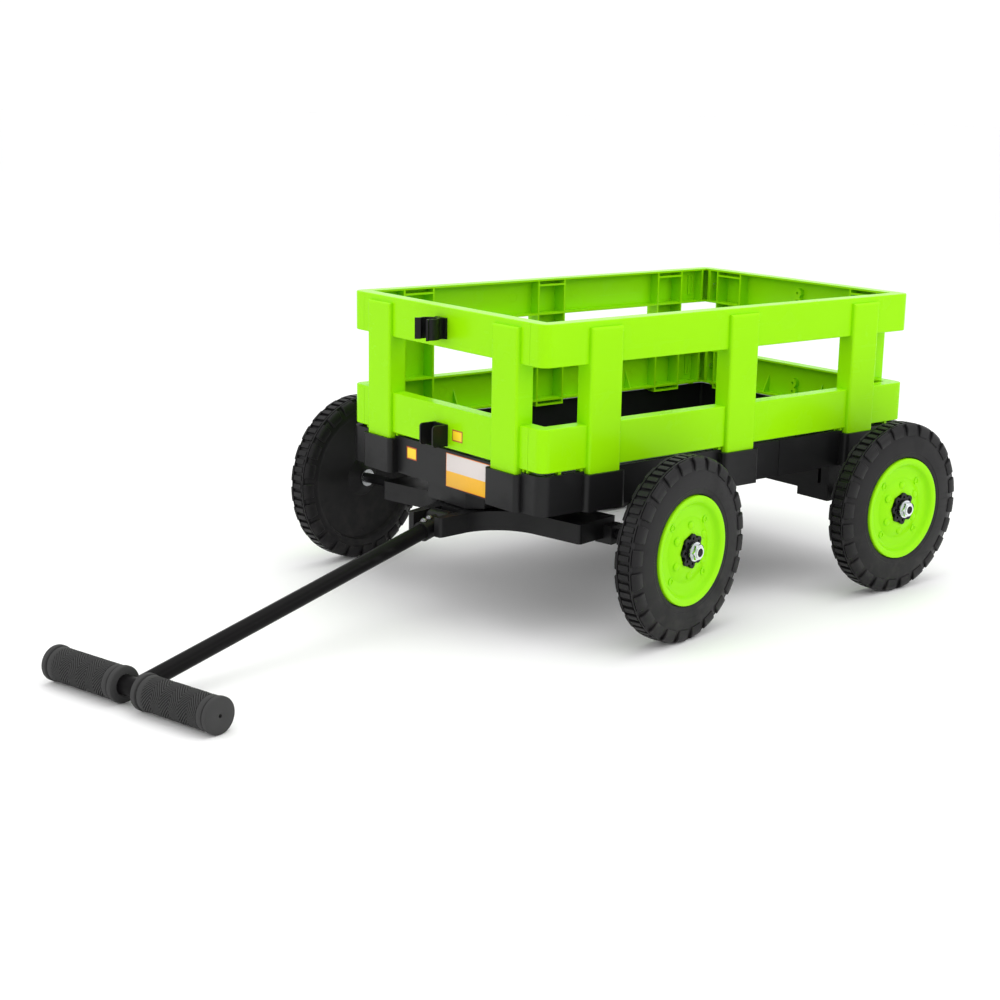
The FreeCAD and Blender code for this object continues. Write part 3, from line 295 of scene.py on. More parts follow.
def drop(piece: bpy.types.Object) -> None:
    """Remove a pattern object that only its copies were needed of."""
    bpy.data.objects.remove(piece)


# ---- shader helpers ------------------------------------------------------------------------------
class Field:
    """A shader socket that takes part in Python expressions."""

    def __init__(self, sheet: "Sheet", socket: bpy.types.NodeSocket) -> None:
        """Wrap a socket of the sheet's node tree."""
        self.sheet = sheet
        self.socket = socket

    def _math(self, operation: str, first: "Entry", second: "Entry") -> "Field":
        """A Math node on two entries."""
        return self.sheet.make("ShaderNodeMath", {"operation": operation}, {0: first, 1: second})

    def __add__(self, other: "Entry") -> "Field":
        """self + other."""
        return self._math("ADD", self, other)

    __radd__ = __add__

    def __sub__(self, other: "Entry") -> "Field":
        """self - other."""
        return self._math("SUBTRACT", self, other)

    def __rsub__(self, other: "Entry") -> "Field":
        """other - self."""
        return self._math("SUBTRACT", other, self)

    def __mul__(self, other: "Entry") -> "Field":
        """self * other."""
        return self._math("MULTIPLY", self, other)

    __rmul__ = __mul__

    def above(self, level: float) -> "Field":
        """1 where the field is over the level, else 0."""
        return self._math("GREATER_THAN", self, level)

    def below(self, level: float) -> "Field":
        """1 where the field is under the level, else 0."""
        return self._math("LESS_THAN", self, level)

    def ramp(self, low: float, high: float) -> "Field":
        """0 up to low, 1 from high, smooth between."""
        return self.sheet.make("ShaderNodeMapRange", {"interpolation_type": "SMOOTHSTEP"},
                               {"Value": self, "From Min": low, "From Max": high})


Entry = Union[Field, float, tuple]


class Sheet:
    """A material's node tree, with one method that makes every node."""

    def __init__(self, name: str) -> None:
        """Start a material with an empty node tree.

        Args:
            name: the material's name.
        """
        self.material = bpy.data.materials.new(name)
        self.material.use_nodes = True
        self.tree = self.material.node_tree
        self.tree.nodes.clear()

    def make(self, kind: str, settings: dict, entries: dict, output: Union[int, str] = 0) -> Field:
        """Add a node.

        Args:
            kind: the node's type.
            settings: its properties, such as a Math node's operation, which are set first.
            entries: values or fields for its sockets, by name or number.
            output: which output is returned.

        Returns:
            The chosen output as a field.
        """
        node = self.tree.nodes.new(kind)
        for key, value in settings.items():
            setattr(node, key, value)
        for key, entry in entries.items():
            if isinstance(entry, Field):
                self.tree.links.new(entry.socket, node.inputs[key])
            else:
                node.inputs[key].default_value = entry
        return Field(self, node.outputs[output] if len(node.outputs) else None)

    def place(self) -> Field:
        """Object coordinates, in metres."""
        return self.make("ShaderNodeTexCoord", {}, {}, "Object")

    def axis(self, place: Field, letter: str) -> Field:
        """One coordinate of a place."""
        return self.make("ShaderNodeSeparateXYZ", {}, {0: place}, letter)

    def noise(self, place: Field, per_metre: float, detail: float = 3.0,
              stretch: Point = (1, 1, 1)) -> Field:
        """Noise from 0 to 1 with about this many lumps to the metre."""
        turned = self.make("ShaderNodeMapping", {}, {"Vector": place, "Scale": tuple(stretch)})
        return self.make("ShaderNodeTexNoise", {},
                         {"Vector": turned, "Scale": per_metre, "Detail": detail})

    def blend(self, mask: Entry, first: Entry, second: Entry) -> Field:
        """A colour mixed from first to second by the mask."""
        return self.make("ShaderNodeMix", {"data_type": "RGBA"}, {0: mask, 6: first, 7: second}, 2)

    def bump(self, height: Field, distance: float) -> Field:
        """A normal from a height field and the height of its lumps in metres."""
        return self.make("ShaderNodeBump", {},
                         {"Height": height, "Distance": distance, "Strength": 1.0})

    def finish(self, entries: dict) -> bpy.types.Material:
        """Close the material with a Principled shader.

        Args:
            entries: the shader's sockets by name.

        Returns:
            The material.
        """
        shader = self.make("ShaderNodeBsdfPrincipled", {}, entries, "BSDF")
        self.make("ShaderNodeOutputMaterial", {}, {"Surface": shader})
        return self.material


# ---- finishes ------------------------------------------------------------------------------------
Colour = tuple[float, float, float]
DUST = (0.22, 0.20, 0.18)


def rgba(colour: Colour, factor: float = 1.0) -> tuple:
    """A colour with an alpha of 1, made lighter or darker by a factor."""
    return (*(min(1.0, part * factor) for part in colour), 1.0)


@dataclass(frozen=True)
class MouldedPlastic:
    """Injection or blow moulded plastic.

    The colour drifts a little with the melt's flow, a fine grain breaks the gloss, and rubbed
    patches and hairline scratches show in the roughness.
    """

    name: str
    slot: str
    colour: Colour
    roughness: float
    drift: float = 0.06
    grain_per_metre: float = 1400.0
    grain_depth: float = 0.00003
    wave_depth: float = 0.0
    rubbed: float = 0.12
    dusty: float = 0.0
    shine: float = 0.22

    def build(self) -> bpy.types.Material:
        """Make the material.

        Returns:
            The material.
        """
        sheet = Sheet(self.name)
        place = sheet.place()
        flow = sheet.noise(place, 9.0, 4.0, (1.0, 0.5, 1.6))
        grain = sheet.noise(place, self.grain_per_metre, 2.0)
        patches = sheet.noise(place, 26.0, 5.0).ramp(0.48, 0.72)
        scratches = sheet.noise(place, 60.0, 6.0, (1.0, 0.08, 3.0)).ramp(0.60, 0.68)
        colour = sheet.blend(flow, rgba(self.colour, 1 - self.drift),
                             rgba(self.colour, 1 + self.drift))
        colour = sheet.blend(patches * (self.drift * 1.2), colour, rgba(self.colour, 0.8))
        if self.dusty:
            low = 1 - sheet.axis(place, "Z").ramp(0.0, 0.16)
            dust = sheet.noise(place, 70.0, 6.0).ramp(0.42, 0.75) * low * self.dusty
            colour = sheet.blend(dust, colour, rgba(DUST))
        rough = (self.roughness + patches * self.rubbed + scratches * (self.rubbed * 0.5)
                 + (grain - 0.5) * 0.06)
        normal = sheet.bump(grain, self.grain_depth)
        if self.wave_depth:
            wave = sheet.noise(place, 24.0, 1.0)
            normal = sheet.make("ShaderNodeBump", {}, {"Height": wave, "Distance": self.wave_depth,
                                                       "Normal": normal})
        return sheet.finish({"Base Color": colour, "Roughness": rough, "Normal": normal,
                             "Specular IOR Level": self.shine, "IOR": 1.49})


@dataclass(frozen=True)
class GripRubber:
    """Dull soft rubber, polished where a hand rubs it, with pale dust in its pores."""

    name: str = "grip_rubber"
    slot: str = "grip_rubber"
    colour: Colour = (0.0060, 0.0056, 0.0058)

    def build(self) -> bpy.types.Material:
        """Make the material.

        Returns:
            The material.
        """
        sheet = Sheet(self.name)
        place = sheet.place()
        pores = sheet.noise(place, 2600.0, 3.0)
        worn = sheet.noise(place, 45.0, 4.0).ramp(0.45, 0.7)
        dust = sheet.noise(place, 300.0, 6.0).ramp(0.58, 0.8) * 0.25
        colour = sheet.blend(worn, rgba(self.colour), rgba(self.colour, 1.35))
        colour = sheet.blend(dust, colour, rgba(self.colour, 3.0))
        rough = 0.62 - worn * 0.12 + pores * 0.1
        return sheet.finish({"Base Color": colour, "Roughness": rough,
                             "Normal": sheet.bump(pores, 0.00005), "Specular IOR Level": 0.08})


@dataclass(frozen=True)
class PowderCoat:
    """Black powder coat with a faint orange peel and small chips and rub marks."""

    name: str
    slot: str
    colour: Colour
    roughness: float

    def build(self) -> bpy.types.Material:
        """Make the material.

        Returns:
            The material.
        """
        sheet = Sheet(self.name)
        place = sheet.place()
        peel = sheet.noise(place, 420.0, 2.0)
        cloud = sheet.noise(place, 30.0, 4.0)
        rub = sheet.noise(place, 90.0, 6.0, (1.0, 0.3, 1.0)).ramp(0.60, 0.75)
        colour = sheet.blend(cloud, rgba(self.colour, 0.85), rgba(self.colour, 1.25))
        colour = sheet.blend(rub * 0.3, colour, rgba(self.colour, 4.0))
        rough = self.roughness + rub * 0.18 + (cloud - 0.5) * 0.08
        return sheet.finish({"Base Color": colour, "Roughness": rough,
                             "Normal": sheet.bump(peel, 0.00006), "Specular IOR Level": 0.05})


@dataclass(frozen=True)
class PlatedSteel:
    """Zinc-plated steel: turned or rolled marks, cloudy plating and a few dull spots."""

    name: str
    slot: str
    colour: Colour
    roughness: float

    def build(self) -> bpy.types.Material:
        """Make the material.

        Returns:
            The material.
        """
        sheet = Sheet(self.name)
        place = sheet.place()
        marks = sheet.noise(place, 900.0, 3.0, (0.25, 1.0, 1.0))
        cloud = sheet.noise(place, 140.0, 5.0)
        spots = sheet.noise(place, 480.0, 6.0).ramp(0.62, 0.72)
        colour = sheet.blend(cloud, rgba(self.colour, 0.82), rgba(self.colour, 1.08))
        colour = sheet.blend(spots * 0.5, colour, rgba(self.colour, 0.55))
        rough = self.roughness + spots * 0.2 + (marks - 0.5) * 0.16
        return sheet.finish({"Base Color": colour, "Roughness": rough, "Metallic": 1.0,
                             "Normal": sheet.bump(marks, 0.00004)})


@dataclass(frozen=True)
class PrintedFilm:
    """A blank sticker: a border round a field, its upper part in a second colour."""

    name: str
    low: Vector
    high: Vector
    border: Colour
    field_colour: Colour
    upper: Colour
    split: float
    edge: float
    slot: str = "label_film"

    def build(self) -> bpy.types.Material:
        """Make the material.

        Returns:
            The material.
        """
        sheet = Sheet(self.name)
        place = sheet.place()
        across, up = sheet.axis(place, "X"), sheet.axis(place, "Z")
        inside = (across.above(self.low.x + self.edge) * across.below(self.high.x - self.edge)
                  * up.above(self.low.z + self.edge) * up.below(self.high.z - self.edge))
        top = up.above(self.low.z + (self.high.z - self.low.z) * self.split)
        ink = sheet.noise(place, 300.0, 4.0)
        plain = sheet.blend(ink, rgba(self.field_colour, 0.94), rgba(self.field_colour, 1.03))
        colour = sheet.blend(top, plain, rgba(self.upper))
        colour = sheet.blend(inside, rgba(self.border), colour)
        wave = sheet.noise(place, 120.0, 2.0)
        return sheet.finish({"Base Color": colour, "Roughness": 0.34 + ink * 0.1,
                             "Normal": sheet.bump(wave, 0.0001), "IOR": 1.45})


class Finish(Enum):
    """The finishes that several pieces share."""

    GREEN = MouldedPlastic("lime_green_gloss", "green_plastic", (0.305, 0.755, 0.002), 0.22, 0.03,
                           900.0, 0.000012, 0.00035, 0.10, shine=0.08)
    RIM_GREEN = MouldedPlastic("lime_green_satin", "green_rim", (0.285, 0.74, 0.003), 0.32, 0.04,
                               1200.0, 0.00002, shine=0.10)
    TRAY = MouldedPlastic("charcoal_grained", "black_plastic", (0.0085, 0.0085, 0.009), 0.38, 0.12,
                          1500.0, 0.00007, 0.0, 0.14)
    WHEEL = MouldedPlastic("charcoal_blown", "wheel_black", (0.0105, 0.010, 0.0108), 0.40, 0.15,
                           900.0, 0.00005, 0.0004, 0.15, 0.06, 0.18)
    HUB = MouldedPlastic("black_nylon", "hub_black", (0.006, 0.006, 0.0065), 0.40, 0.12,
                         1800.0, 0.00003)
    CLIP = MouldedPlastic("black_clip", "clip_black", (0.0055, 0.0055, 0.006), 0.36, 0.12,
                          1600.0, 0.00003)
    RUBBER = GripRubber()
    POLE = PowderCoat("black_powder_coat", "black_paint", (0.0055, 0.0052, 0.0055), 0.30)
    AXLE = PowderCoat("black_oxide", "axle_steel", (0.022, 0.022, 0.023), 0.42)
    BOLT = PlatedSteel("dark_zinc", "dark_steel", (0.20, 0.20, 0.21), 0.26)
    ZINC = PlatedSteel("bright_zinc", "zinc", (0.74, 0.76, 0.78), 0.24)

    @property
    def material(self) -> bpy.types.Material:
        """The material, made the first time it is asked for."""
        return bpy.data.materials.get(self.value.name) or self.value.build()


def dress(piece: bpy.types.Object, material: bpy.types.Material) -> None:
    """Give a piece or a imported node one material."""
    piece.data.materials.clear()
    piece.data.materials.append(material)


def dress_nodes(finish: Finish, names: Iterable[str]) -> None:
    """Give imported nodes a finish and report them.

    Args:
        finish: their finish.
        names: the nodes' names.
    """
    for name in names:
        dress(frame["nodes"][name], finish.material)
        LOG.info("node %s: %s", name, finish.name.lower())


def fit_in(piece: bpy.types.Object, body: str, finish: Finish,
           stands_for: Sequence[str] = ()) -> None:
    """Dress a new piece, let it ride on its body and report it.

    Args:
        piece: the finished piece.
        body: the body that it moves with.
        finish: its finish.
        stands_for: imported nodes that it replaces.
    """
    dress(piece, finish.material)
    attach(piece, body)
    if stands_for:
        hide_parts(*stands_for)
    LOG.info("piece %s on %s, %d faces", piece.name, body, len(piece.data.polygons))


def frame_of(along: Vector) -> Matrix:
    """The turn that brings X to a level direction and keeps Z up."""
    return Matrix((along, UP.cross(along), UP)).transposed().to_4x4()


def centre_of(node: str) -> Vector:
    """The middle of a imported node's box."""
    low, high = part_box(node)
    return (low + high) / 2


# ---- wheels --------------------------------------------------------------------------------------
@dataclass
class WheelBody:
    """The treaded wheel body, modelled about X with its outer side at +X and copied to four places.

    Sizes are in millimetres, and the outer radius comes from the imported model.
    """

    radius: float
    half_width: float = 16.0
    seat_radius: float = 65.2
    tread_depth: float = 4.4
    band_half: float = 8.0
    rail: tuple[float, float] = (8.3, 10.0)
    rungs: int = 62
    rung_width: float = 6.4
    lugs: int = 24
    lug_width: float = 20.5
    disc_x: float = -8.0
    drain_circle: float = 72.0
    drain_radius: float = 2.6
    steps: int = 144

    def outline(self) -> list[Point]:
        """The body's section without its lugs.

        Returns:
            Points in (x, radius), from the inner sleeve over the tread to the rim's seat.
        """
        r, w, skin = self.radius, self.half_width, self.radius - self.tread_depth
        disc, seat, band = self.disc_x, self.seat_radius, self.band_half
        near, far = self.rail
        sleeve = [(-16.0, 8.0), (-16.0, 11.5), (-15.2, 12.6), (disc - 1.6, 23.6), (disc, 25.8)]
        inner_disc = [(disc, 30.0), (disc, r - 28.2), (disc - 0.5, r - 27.0), (-w + 2.6, r - 25.4),
                      (-w + 1.0, r - 24.6), (-w + 0.4, r - 22.6)]
        inner_wall = [(-w, r - 18.5), (-w + 1.2, r - 15.6), (-w + 2.6, r - 10.4),
                      (-w + 4.4, skin - 1.2), (-far - 0.4, skin)]
        crown = [(-far, r - 0.9), (-far + 0.4, r - 0.5), (-near, r - 0.5), (-band, r - 3.2),
                 (band, r - 3.2), (near, r - 0.5), (far - 0.4, r - 0.5), (far, r - 0.9)]
        outer_wall = [(far + 0.5, skin), (w - 4.4, skin - 1.2), (w - 2.6, r - 10.4),
                      (w - 1.2, r - 15.6), (w, r - 21.0), (w, seat + 7.0)]
        rim_seat = [(w - 0.5, seat + 6.2), (w - 0.5, seat + 2.0), (w - 1.2, seat + 0.6),
                    (w - 2.4, seat), (6.0, seat), (6.0, 8.0)]
        return sleeve + inner_disc + inner_wall + crown + outer_wall + rim_seat

    def lug_section(self) -> list[Point]:
        """An outer shoulder lug's section.

        Returns:
            Points in (x, radius), from the crown over the shoulder to the side wall and back.
        """
        r, w = self.radius, self.half_width
        return [(10.6, r - 7.0), (10.6, r - 0.6), (12.0, r - 1.0), (w - 2.0, r - 3.0),
                (w - 0.6, r - 5.6), (w, r - 9.4), (w, r - 14.4), (w - 0.7, r - 16.2),
                (w - 3.6, r - 14.0), (w - 5.0, r - 9.0)]

    def build(self) -> bpy.types.Object:
        """Model one wheel body at the origin.

        Returns:
            The pattern object.
        """
        body = lathe("wheel_body", self.outline(), self.steps, 30)
        r, half = self.radius, self.band_half - 1.0
        rung = [(-half, r - 3.8), (-half, r - 0.1), (half, r - 0.1), (half, r - 3.8)]
        rungs = ring_of_blocks("rungs", rung, self.rung_width, r, self.rungs, 0.5)
        outer = ring_of_blocks("lugs", self.lug_section(), self.lug_width, r, self.lugs, 0.9, 3)
        half_pitch = Matrix.Rotation(math.pi / self.lugs, 4, "X")
        inner = copy_at(outer, "inner_lugs", Matrix.Rotation(math.pi, 4, "Z") @ half_pitch)
        return join("wheel_body", [body, rungs, outer, inner, *self.drain_rings()])

    def drain_rings(self) -> list[bpy.types.Object]:
        """The rims of the two small drain holes in the inner disc.

        Returns:
            The rims.
        """
        select_nothing()
        bpy.ops.mesh.primitive_torus_add(major_radius=self.drain_radius * MM, minor_radius=0.5 * MM,
                                         major_segments=20, minor_segments=6,
                                         rotation=(0, math.pi / 2, 0),
                                         location=(self.disc_x * MM, 0, 0))
        ring = begin("drain")
        bpy.ops.transform.resize(value=(0.7, 1, 1))
        return copies_at(settle(ring), [Matrix.Translation(UP * sign * self.drain_circle * MM)
                                        for sign in (-1, 1)])


@dataclass
class WheelInsert:
    """The green dished insert of a wheel, with its ring bosses and domes; millimetres."""

    radius: float = 64.4
    lip: float = 17.5
    floor: float = 9.5
    bore: float = 18.7
    raised: tuple[float, float] = (38.3, 0.7)
    cone: tuple[float, float] = (23.0, 4.6)
    ring_circle: float = 44.0
    ring_size: tuple[float, float] = (4.2, 1.6)
    dome_circle: float = 29.0
    dome_radius: float = 5.2
    steps: int = 128

    def outline(self) -> list[Point]:
        """The insert's section.

        Returns:
            Points in (x, radius), from the back edge over the lip and floor to the bore and back.
        """
        r, lip, floor = self.radius, self.lip, self.floor
        foot, rise = self.raised
        top, height = self.cone
        edge = [(5.5, r), (lip - 1.3, r), (lip - 0.5, r - 0.25), (lip - 0.1, r - 0.8),
                (lip, r - 1.6), (lip - 0.25, r - 4.4), (lip - 0.9, r - 6.6), (lip - 1.7, r - 7.9),
                (lip - 3.0, r - 9.0)]
        dish = [(floor + 3.2, 54.4), (floor + 1.8, 53.2), (floor + 0.7, 52.0), (floor + 0.15, 50.4),
                (floor, 49.0), (floor, foot + 1.2), (floor + 0.15, foot + 0.6),
                (floor + rise, foot)]
        middle = [(floor + height - 0.5, top + 2.0), (floor + height, top),
                  (floor + height, self.bore + 0.4), (floor + height - 0.4, self.bore)]
        back = [(7.1, self.bore), (7.1, 49.0), (5.5, 52.0), (5.5, r)]
        return edge + dish + middle + back

    def build(self) -> bpy.types.Object:
        """Model one insert at the origin, outer side at +X.

        Returns:
            The pattern object.
        """
        return join("insert", [lathe("insert", self.outline(), self.steps, 40),
                               *copies_at(self.ring_boss(), self.round_places(self.ring_circle, 4)),
                               *copies_at(self.dome(), self.round_places(self.dome_circle, 6))])

    @staticmethod
    def round_places(circle: float, count: int) -> list[Matrix]:
        """Equal places round the axis.

        Args:
            circle: the radius they stand at, in millimetres.
            count: how many places; the first is half a pitch round.

        Returns:
            The moves from the axis to the places.
        """
        reach = circle * MM
        angles = [math.pi * (2 * i + 1) / count for i in range(count)]
        return [Matrix.Translation((0, reach * math.cos(angle), reach * math.sin(angle)))
                for angle in angles]

    def ring_boss(self) -> bpy.types.Object:
        """A round boss with a sunk middle, modelled on the axis.

        Returns:
            The pattern object.
        """
        radius, depth = self.ring_size
        select_nothing()
        bpy.ops.mesh.primitive_cylinder_add(vertices=32, radius=radius * MM, depth=depth * MM,
                                            rotation=(0, math.pi / 2, 0),
                                            location=((self.floor + 0.4) * MM, 0, 0))
        ring = place_in_mesh(begin("ring_boss"))
        pick(ring, lambda c: c.x > (self.floor + 1.1) * MM, "FACE")
        bpy.ops.mesh.inset(thickness=0.3 * MM, depth=0)
        bpy.ops.mesh.inset(thickness=1.0 * MM, depth=0)
        bpy.ops.mesh.inset(thickness=0.25 * MM, depth=-1.0 * MM)
        return settle(ring, 40)

    def dome(self) -> bpy.types.Object:
        """A low round dome, modelled on the axis at the cone's level on its circle.

        Returns:
            The pattern object.
        """
        share = (self.raised[0] - self.dome_circle) / (self.raised[0] - self.cone[0])
        level = self.floor + self.raised[1] + (self.cone[1] - self.raised[1]) * share
        select_nothing()
        bpy.ops.mesh.primitive_uv_sphere_add(segments=28, ring_count=14,
                                             radius=self.dome_radius * MM,
                                             location=(level * MM, 0, 0))
        dome = begin("dome")
        bpy.ops.transform.resize(value=(0.45, 1, 1))
        bpy.ops.mesh.select_all(action="SELECT")
        bpy.ops.mesh.bisect(plane_co=(self.floor * MM, 0, 0), plane_no=(1, 0, 0), clear_inner=True)
        return settle(dome, 60, recalc=False)


class WheelSet:
    """The four wheels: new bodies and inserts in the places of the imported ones."""

    def __init__(self) -> None:
        """Take the wheel's and the insert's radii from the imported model."""
        rim = self.radius_of("rim_rear_right")
        self.body = WheelBody(radius=self.radius_of("tyre_rear_right"), seat_radius=rim + 0.8)
        self.insert = WheelInsert(radius=rim)

    @staticmethod
    def radius_of(node: str) -> float:
        """Half the height of an upright round node, in millimetres."""
        low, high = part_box(node)
        return (high.z - low.z) / 2 / MM

    @staticmethod
    def place(joint: dict, side: str) -> Matrix:
        """Where a wheel modelled about X goes.

        Args:
            joint: the wheel's joint, with its place and axis.
            side: "right" or "left".

        Returns:
            The turn and move that bring its outer side outwards.
        """
        outward = Vector(joint["axis"]) * (1 if side == "right" else -1)
        return Matrix.Translation(joint["pos_m"]) @ frame_of(outward)

    def build(self) -> None:
        """Model one body and one insert, and copy them to every wheel."""
        body, insert = self.body.build(), self.insert.build()
        joints = {joint["name"]: joint for joint in frame["joints"]}
        for end in ("front", "rear"):
            for side in ("right", "left"):
                where = f"{end}_{side}"
                place = self.place(joints[f"wheel_{where}_spin"], side)
                fit_in(copy_at(body, f"wheel_body_{where}", place), f"wheel_{where}",
                       Finish.WHEEL, [f"tyre_{where}"])
                fit_in(copy_at(insert, f"wheel_insert_{where}", place), f"wheel_{where}",
                       Finish.RIM_GREEN, [f"rim_{where}"])
                dress_nodes(Finish.HUB, [f"hub_{where}"])
        drop(body)
        drop(insert)


# ---- handle --------------------------------------------------------------------------------------
@dataclass
class Grip:
    """A rubber grip along X from its inner guard, with stacked zigzag ribs; millimetres."""

    length: float = 110.0
    radius: float = 18.6
    flange: float = 19.6
    groove_depth: float = 2.0
    ribs: int = 30
    zigzag: float = 8.0
    half_period: float = 13.3
    ribbed: tuple[float, float] = (15.5, 94.5)
    steps: int = 84

    def ends_outline(self, start: float, sign: int) -> list[Point]:
        """The plain bands and flange at one end.

        Args:
            start: where the end is, along X.
            sign: 1 if the grip goes on from there towards +X, else -1.

        Returns:
            Points in (x, radius), from the ribbed part outwards.
        """
        r, flange, groove = self.radius, self.flange, self.radius - 1.4
        steps = [(15.8, r - 0.9), (15.2, r - 0.25), (14.8, r), (8.8, r), (8.4, r - 0.3),
                 (7.9, groove), (6.7, groove), (6.2, flange - 0.6), (5.8, flange - 0.1),
                 (5.2, flange), (1.4, flange), (0.5, flange - 0.3), (0.0, flange - 1.1)]
        return [(start + sign * x, radius) for x, radius in steps]

    def build(self) -> bpy.types.Object:
        """Model the grip with its inner guard at x = 0.

        Returns:
            The pattern object.
        """
        tip = self.length
        inner = self.ends_outline(0.0, 1) + [(0.0, 11.2), (2.0, 11.0)]
        outer = self.ends_outline(tip, -1) + [(tip, 2.4), (tip - 0.3, 2.0), (tip - 3.5, 2.0),
                                              (tip - 3.5, 0.05)]
        return join("grip", [self.ribbed_part(), lathe("inner_end", inner, self.steps, 40),
                             lathe("outer_end", outer, self.steps, 40)])

    def ribbed_part(self) -> bpy.types.Object:
        """The ribbed sleeve, extruded ring by ring with a turn that zigzags.

        Returns:
            The sleeve.
        """
        start, end = self.ribbed
        select_nothing()
        bpy.ops.mesh.primitive_circle_add(vertices=self.ribs * 4, radius=self.radius * MM,
                                          rotation=(0, math.pi / 2, 0), location=(start * MM, 0, 0))
        sleeve = place_in_mesh(begin("ribs"))
        low = {(round(vertex.co.y, 6), round(vertex.co.z, 6))
               for vertex in sleeve.data.vertices if vertex.index % 4 == 3}
        pick(sleeve, lambda c: (round(c.y, 6), round(c.z, 6)) in low)
        shrink = 1 - self.groove_depth / self.radius
        bpy.ops.transform.resize(value=(1, shrink, shrink), center_override=(start * MM, 0, 0))
        bpy.ops.mesh.select_all(action="SELECT")
        rows = round((end - start) / self.half_period * 3)
        step = (end - start) / rows
        turn = self.zigzag * 2 / self.radius / 3
        for row in range(rows):
            bpy.ops.mesh.extrude_region_move(TRANSFORM_OT_translate={"value": (step * MM, 0, 0)})
            sign = 1 if (row // 3) % 2 == 0 else -1
            bpy.ops.transform.rotate(value=sign * turn, orient_axis="X", orient_type="GLOBAL",
                                     center_override=((start + step * (row + 1)) * MM, 0, 0))
        return settle(sleeve, 25)


class DrawHandle:
    """The pole, its knuckle, the cross tube and the two grips."""

    def build(self) -> None:
        """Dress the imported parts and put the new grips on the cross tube."""
        dress_nodes(Finish.POLE, ["draw_pole", "cross_tube"])
        dress_nodes(Finish.CLIP, ["pole_knuckle"])
        dress_nodes(Finish.BOLT, ["knuckle_screws"])
        pattern = Grip()
        grip = pattern.build()
        across = (centre_of("grip_right") - centre_of("grip_left")).normalized()
        for side, along in (("right", across), ("left", -across)):
            start = centre_of(f"grip_{side}") - along * (pattern.length / 2 * MM)
            place = Matrix.Translation(start) @ frame_of(along)
            fit_in(copy_at(grip, f"rubber_grip_{side}", place), "handle",
                   Finish.RUBBER, [f"grip_{side}"])
        drop(grip)


# ---- box -----------------------------------------------------------------------------------------
@dataclass
class SlattedBox:
    """The green box: packed panels with latch frames and moulding marks on their inner faces.

    Sizes are in millimetres.
    """

    skin: float = 2.5
    post_proud: float = 5.0
    screw_head: float = 4.2
    latch: tuple[float, float, float] = (8.0, 28.0, 1.6)
    latch_rim: float = 1.5
    latch_sunk: float = 1.3
    corner_inset: float = 36.0
    mark_radius: float = 6.0
    mark_places: tuple[float, ...] = (-170.0, -55.0, 55.0, 170.0)

    def build(self) -> None:
        """Dress the panels and add the details of their inner faces."""
        dress_nodes(Finish.GREEN, ["left_panel", "right_panel", "front_panel", "rear_panel"])
        dress_nodes(Finish.ZINC, ["panel_corner_screws"])
        low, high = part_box("right_panel")
        ends = [low.y + self.corner_inset * MM, high.y - self.corner_inset * MM]
        middle = (low.y + high.y) / 2
        marks = [middle + place * MM for place in self.mark_places]
        fit_in(join("latch_frames", copies_at(self.latch_frame(), self.on_both_sides(ends))),
               "bed", Finish.GREEN)
        fit_in(join("moulding_marks", copies_at(self.moulding_mark(), self.on_both_sides(marks))),
               "bed", Finish.GREEN)

    def on_both_sides(self, lengthways: Sequence[float]) -> list[Matrix]:
        """Places on the inner faces of both side panels, at both rails' middles.

        Args:
            lengthways: the places' Y, in metres.

        Returns:
            The turns and moves that bring a pattern, modelled proud of X = 0 towards +X, there.
        """
        screws_low, screws_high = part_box("panel_corner_screws")
        levels = (screws_low.z + self.screw_head * MM, screws_high.z - self.screw_head * MM)
        depth = (self.post_proud + self.skin) * MM
        right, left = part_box("right_panel")[1].x - depth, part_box("left_panel")[0].x + depth
        faces = ((right, Matrix.Rotation(math.pi, 4, "Z")), (left, Matrix.Identity(4)))
        return [Matrix.Translation((x, y, z)) @ turn
                for x, turn in faces for y in lengthways for z in levels]

    def latch_frame(self) -> bpy.types.Object:
        """A tall slotted frame.

        Returns:
            The pattern object.
        """
        width, height, depth = (size * MM for size in self.latch)
        select_nothing()
        bpy.ops.mesh.primitive_cube_add(size=1.0, location=(depth / 2, 0, 0),
                                        scale=(depth, width, height))
        latch = place_in_mesh(begin("latch"))
        pick(latch, lambda c: abs(c.x - depth) < DOUBLES, "FACE")
        bpy.ops.mesh.inset(thickness=self.latch_rim * MM, depth=0)
        sink = {"value": (-self.latch_sunk * MM, 0, 0)}
        bpy.ops.mesh.extrude_region_move(TRANSFORM_OT_translate=sink)
        return settle(latch, 30)

    def moulding_mark(self) -> bpy.types.Object:
        """The faint round mark that an ejector pin leaves.

        Returns:
            The pattern object.
        """
        select_nothing()
        bpy.ops.mesh.primitive_torus_add(major_radius=self.mark_radius * MM, minor_radius=0.3 * MM,
                                         major_segments=40, minor_segments=6,
                                         rotation=(0, math.pi / 2, 0), location=(0.02 * MM, 0, 0))
        mark = begin("mark")
        bpy.ops.transform.resize(value=(0.6, 1, 1))
        return settle(mark)


@dataclass(frozen=True)
class StickerInks:
    """A sticker's colours, its border's width in millimetres and how high its colours meet."""

    border: Colour
    field_colour: Colour
    upper: Colour
    edge: float
    split: float = 0.47


LARGE_STICKER = StickerInks((0.75, 0.20, 0.02), (0.90, 0.48, 0.02), (0.70, 0.64, 0.62), 0.9)
SMALL_STICKER = StickerInks((0.42, 0.06, 0.02), (0.92, 0.66, 0.02), (0.92, 0.66, 0.02), 1.5)


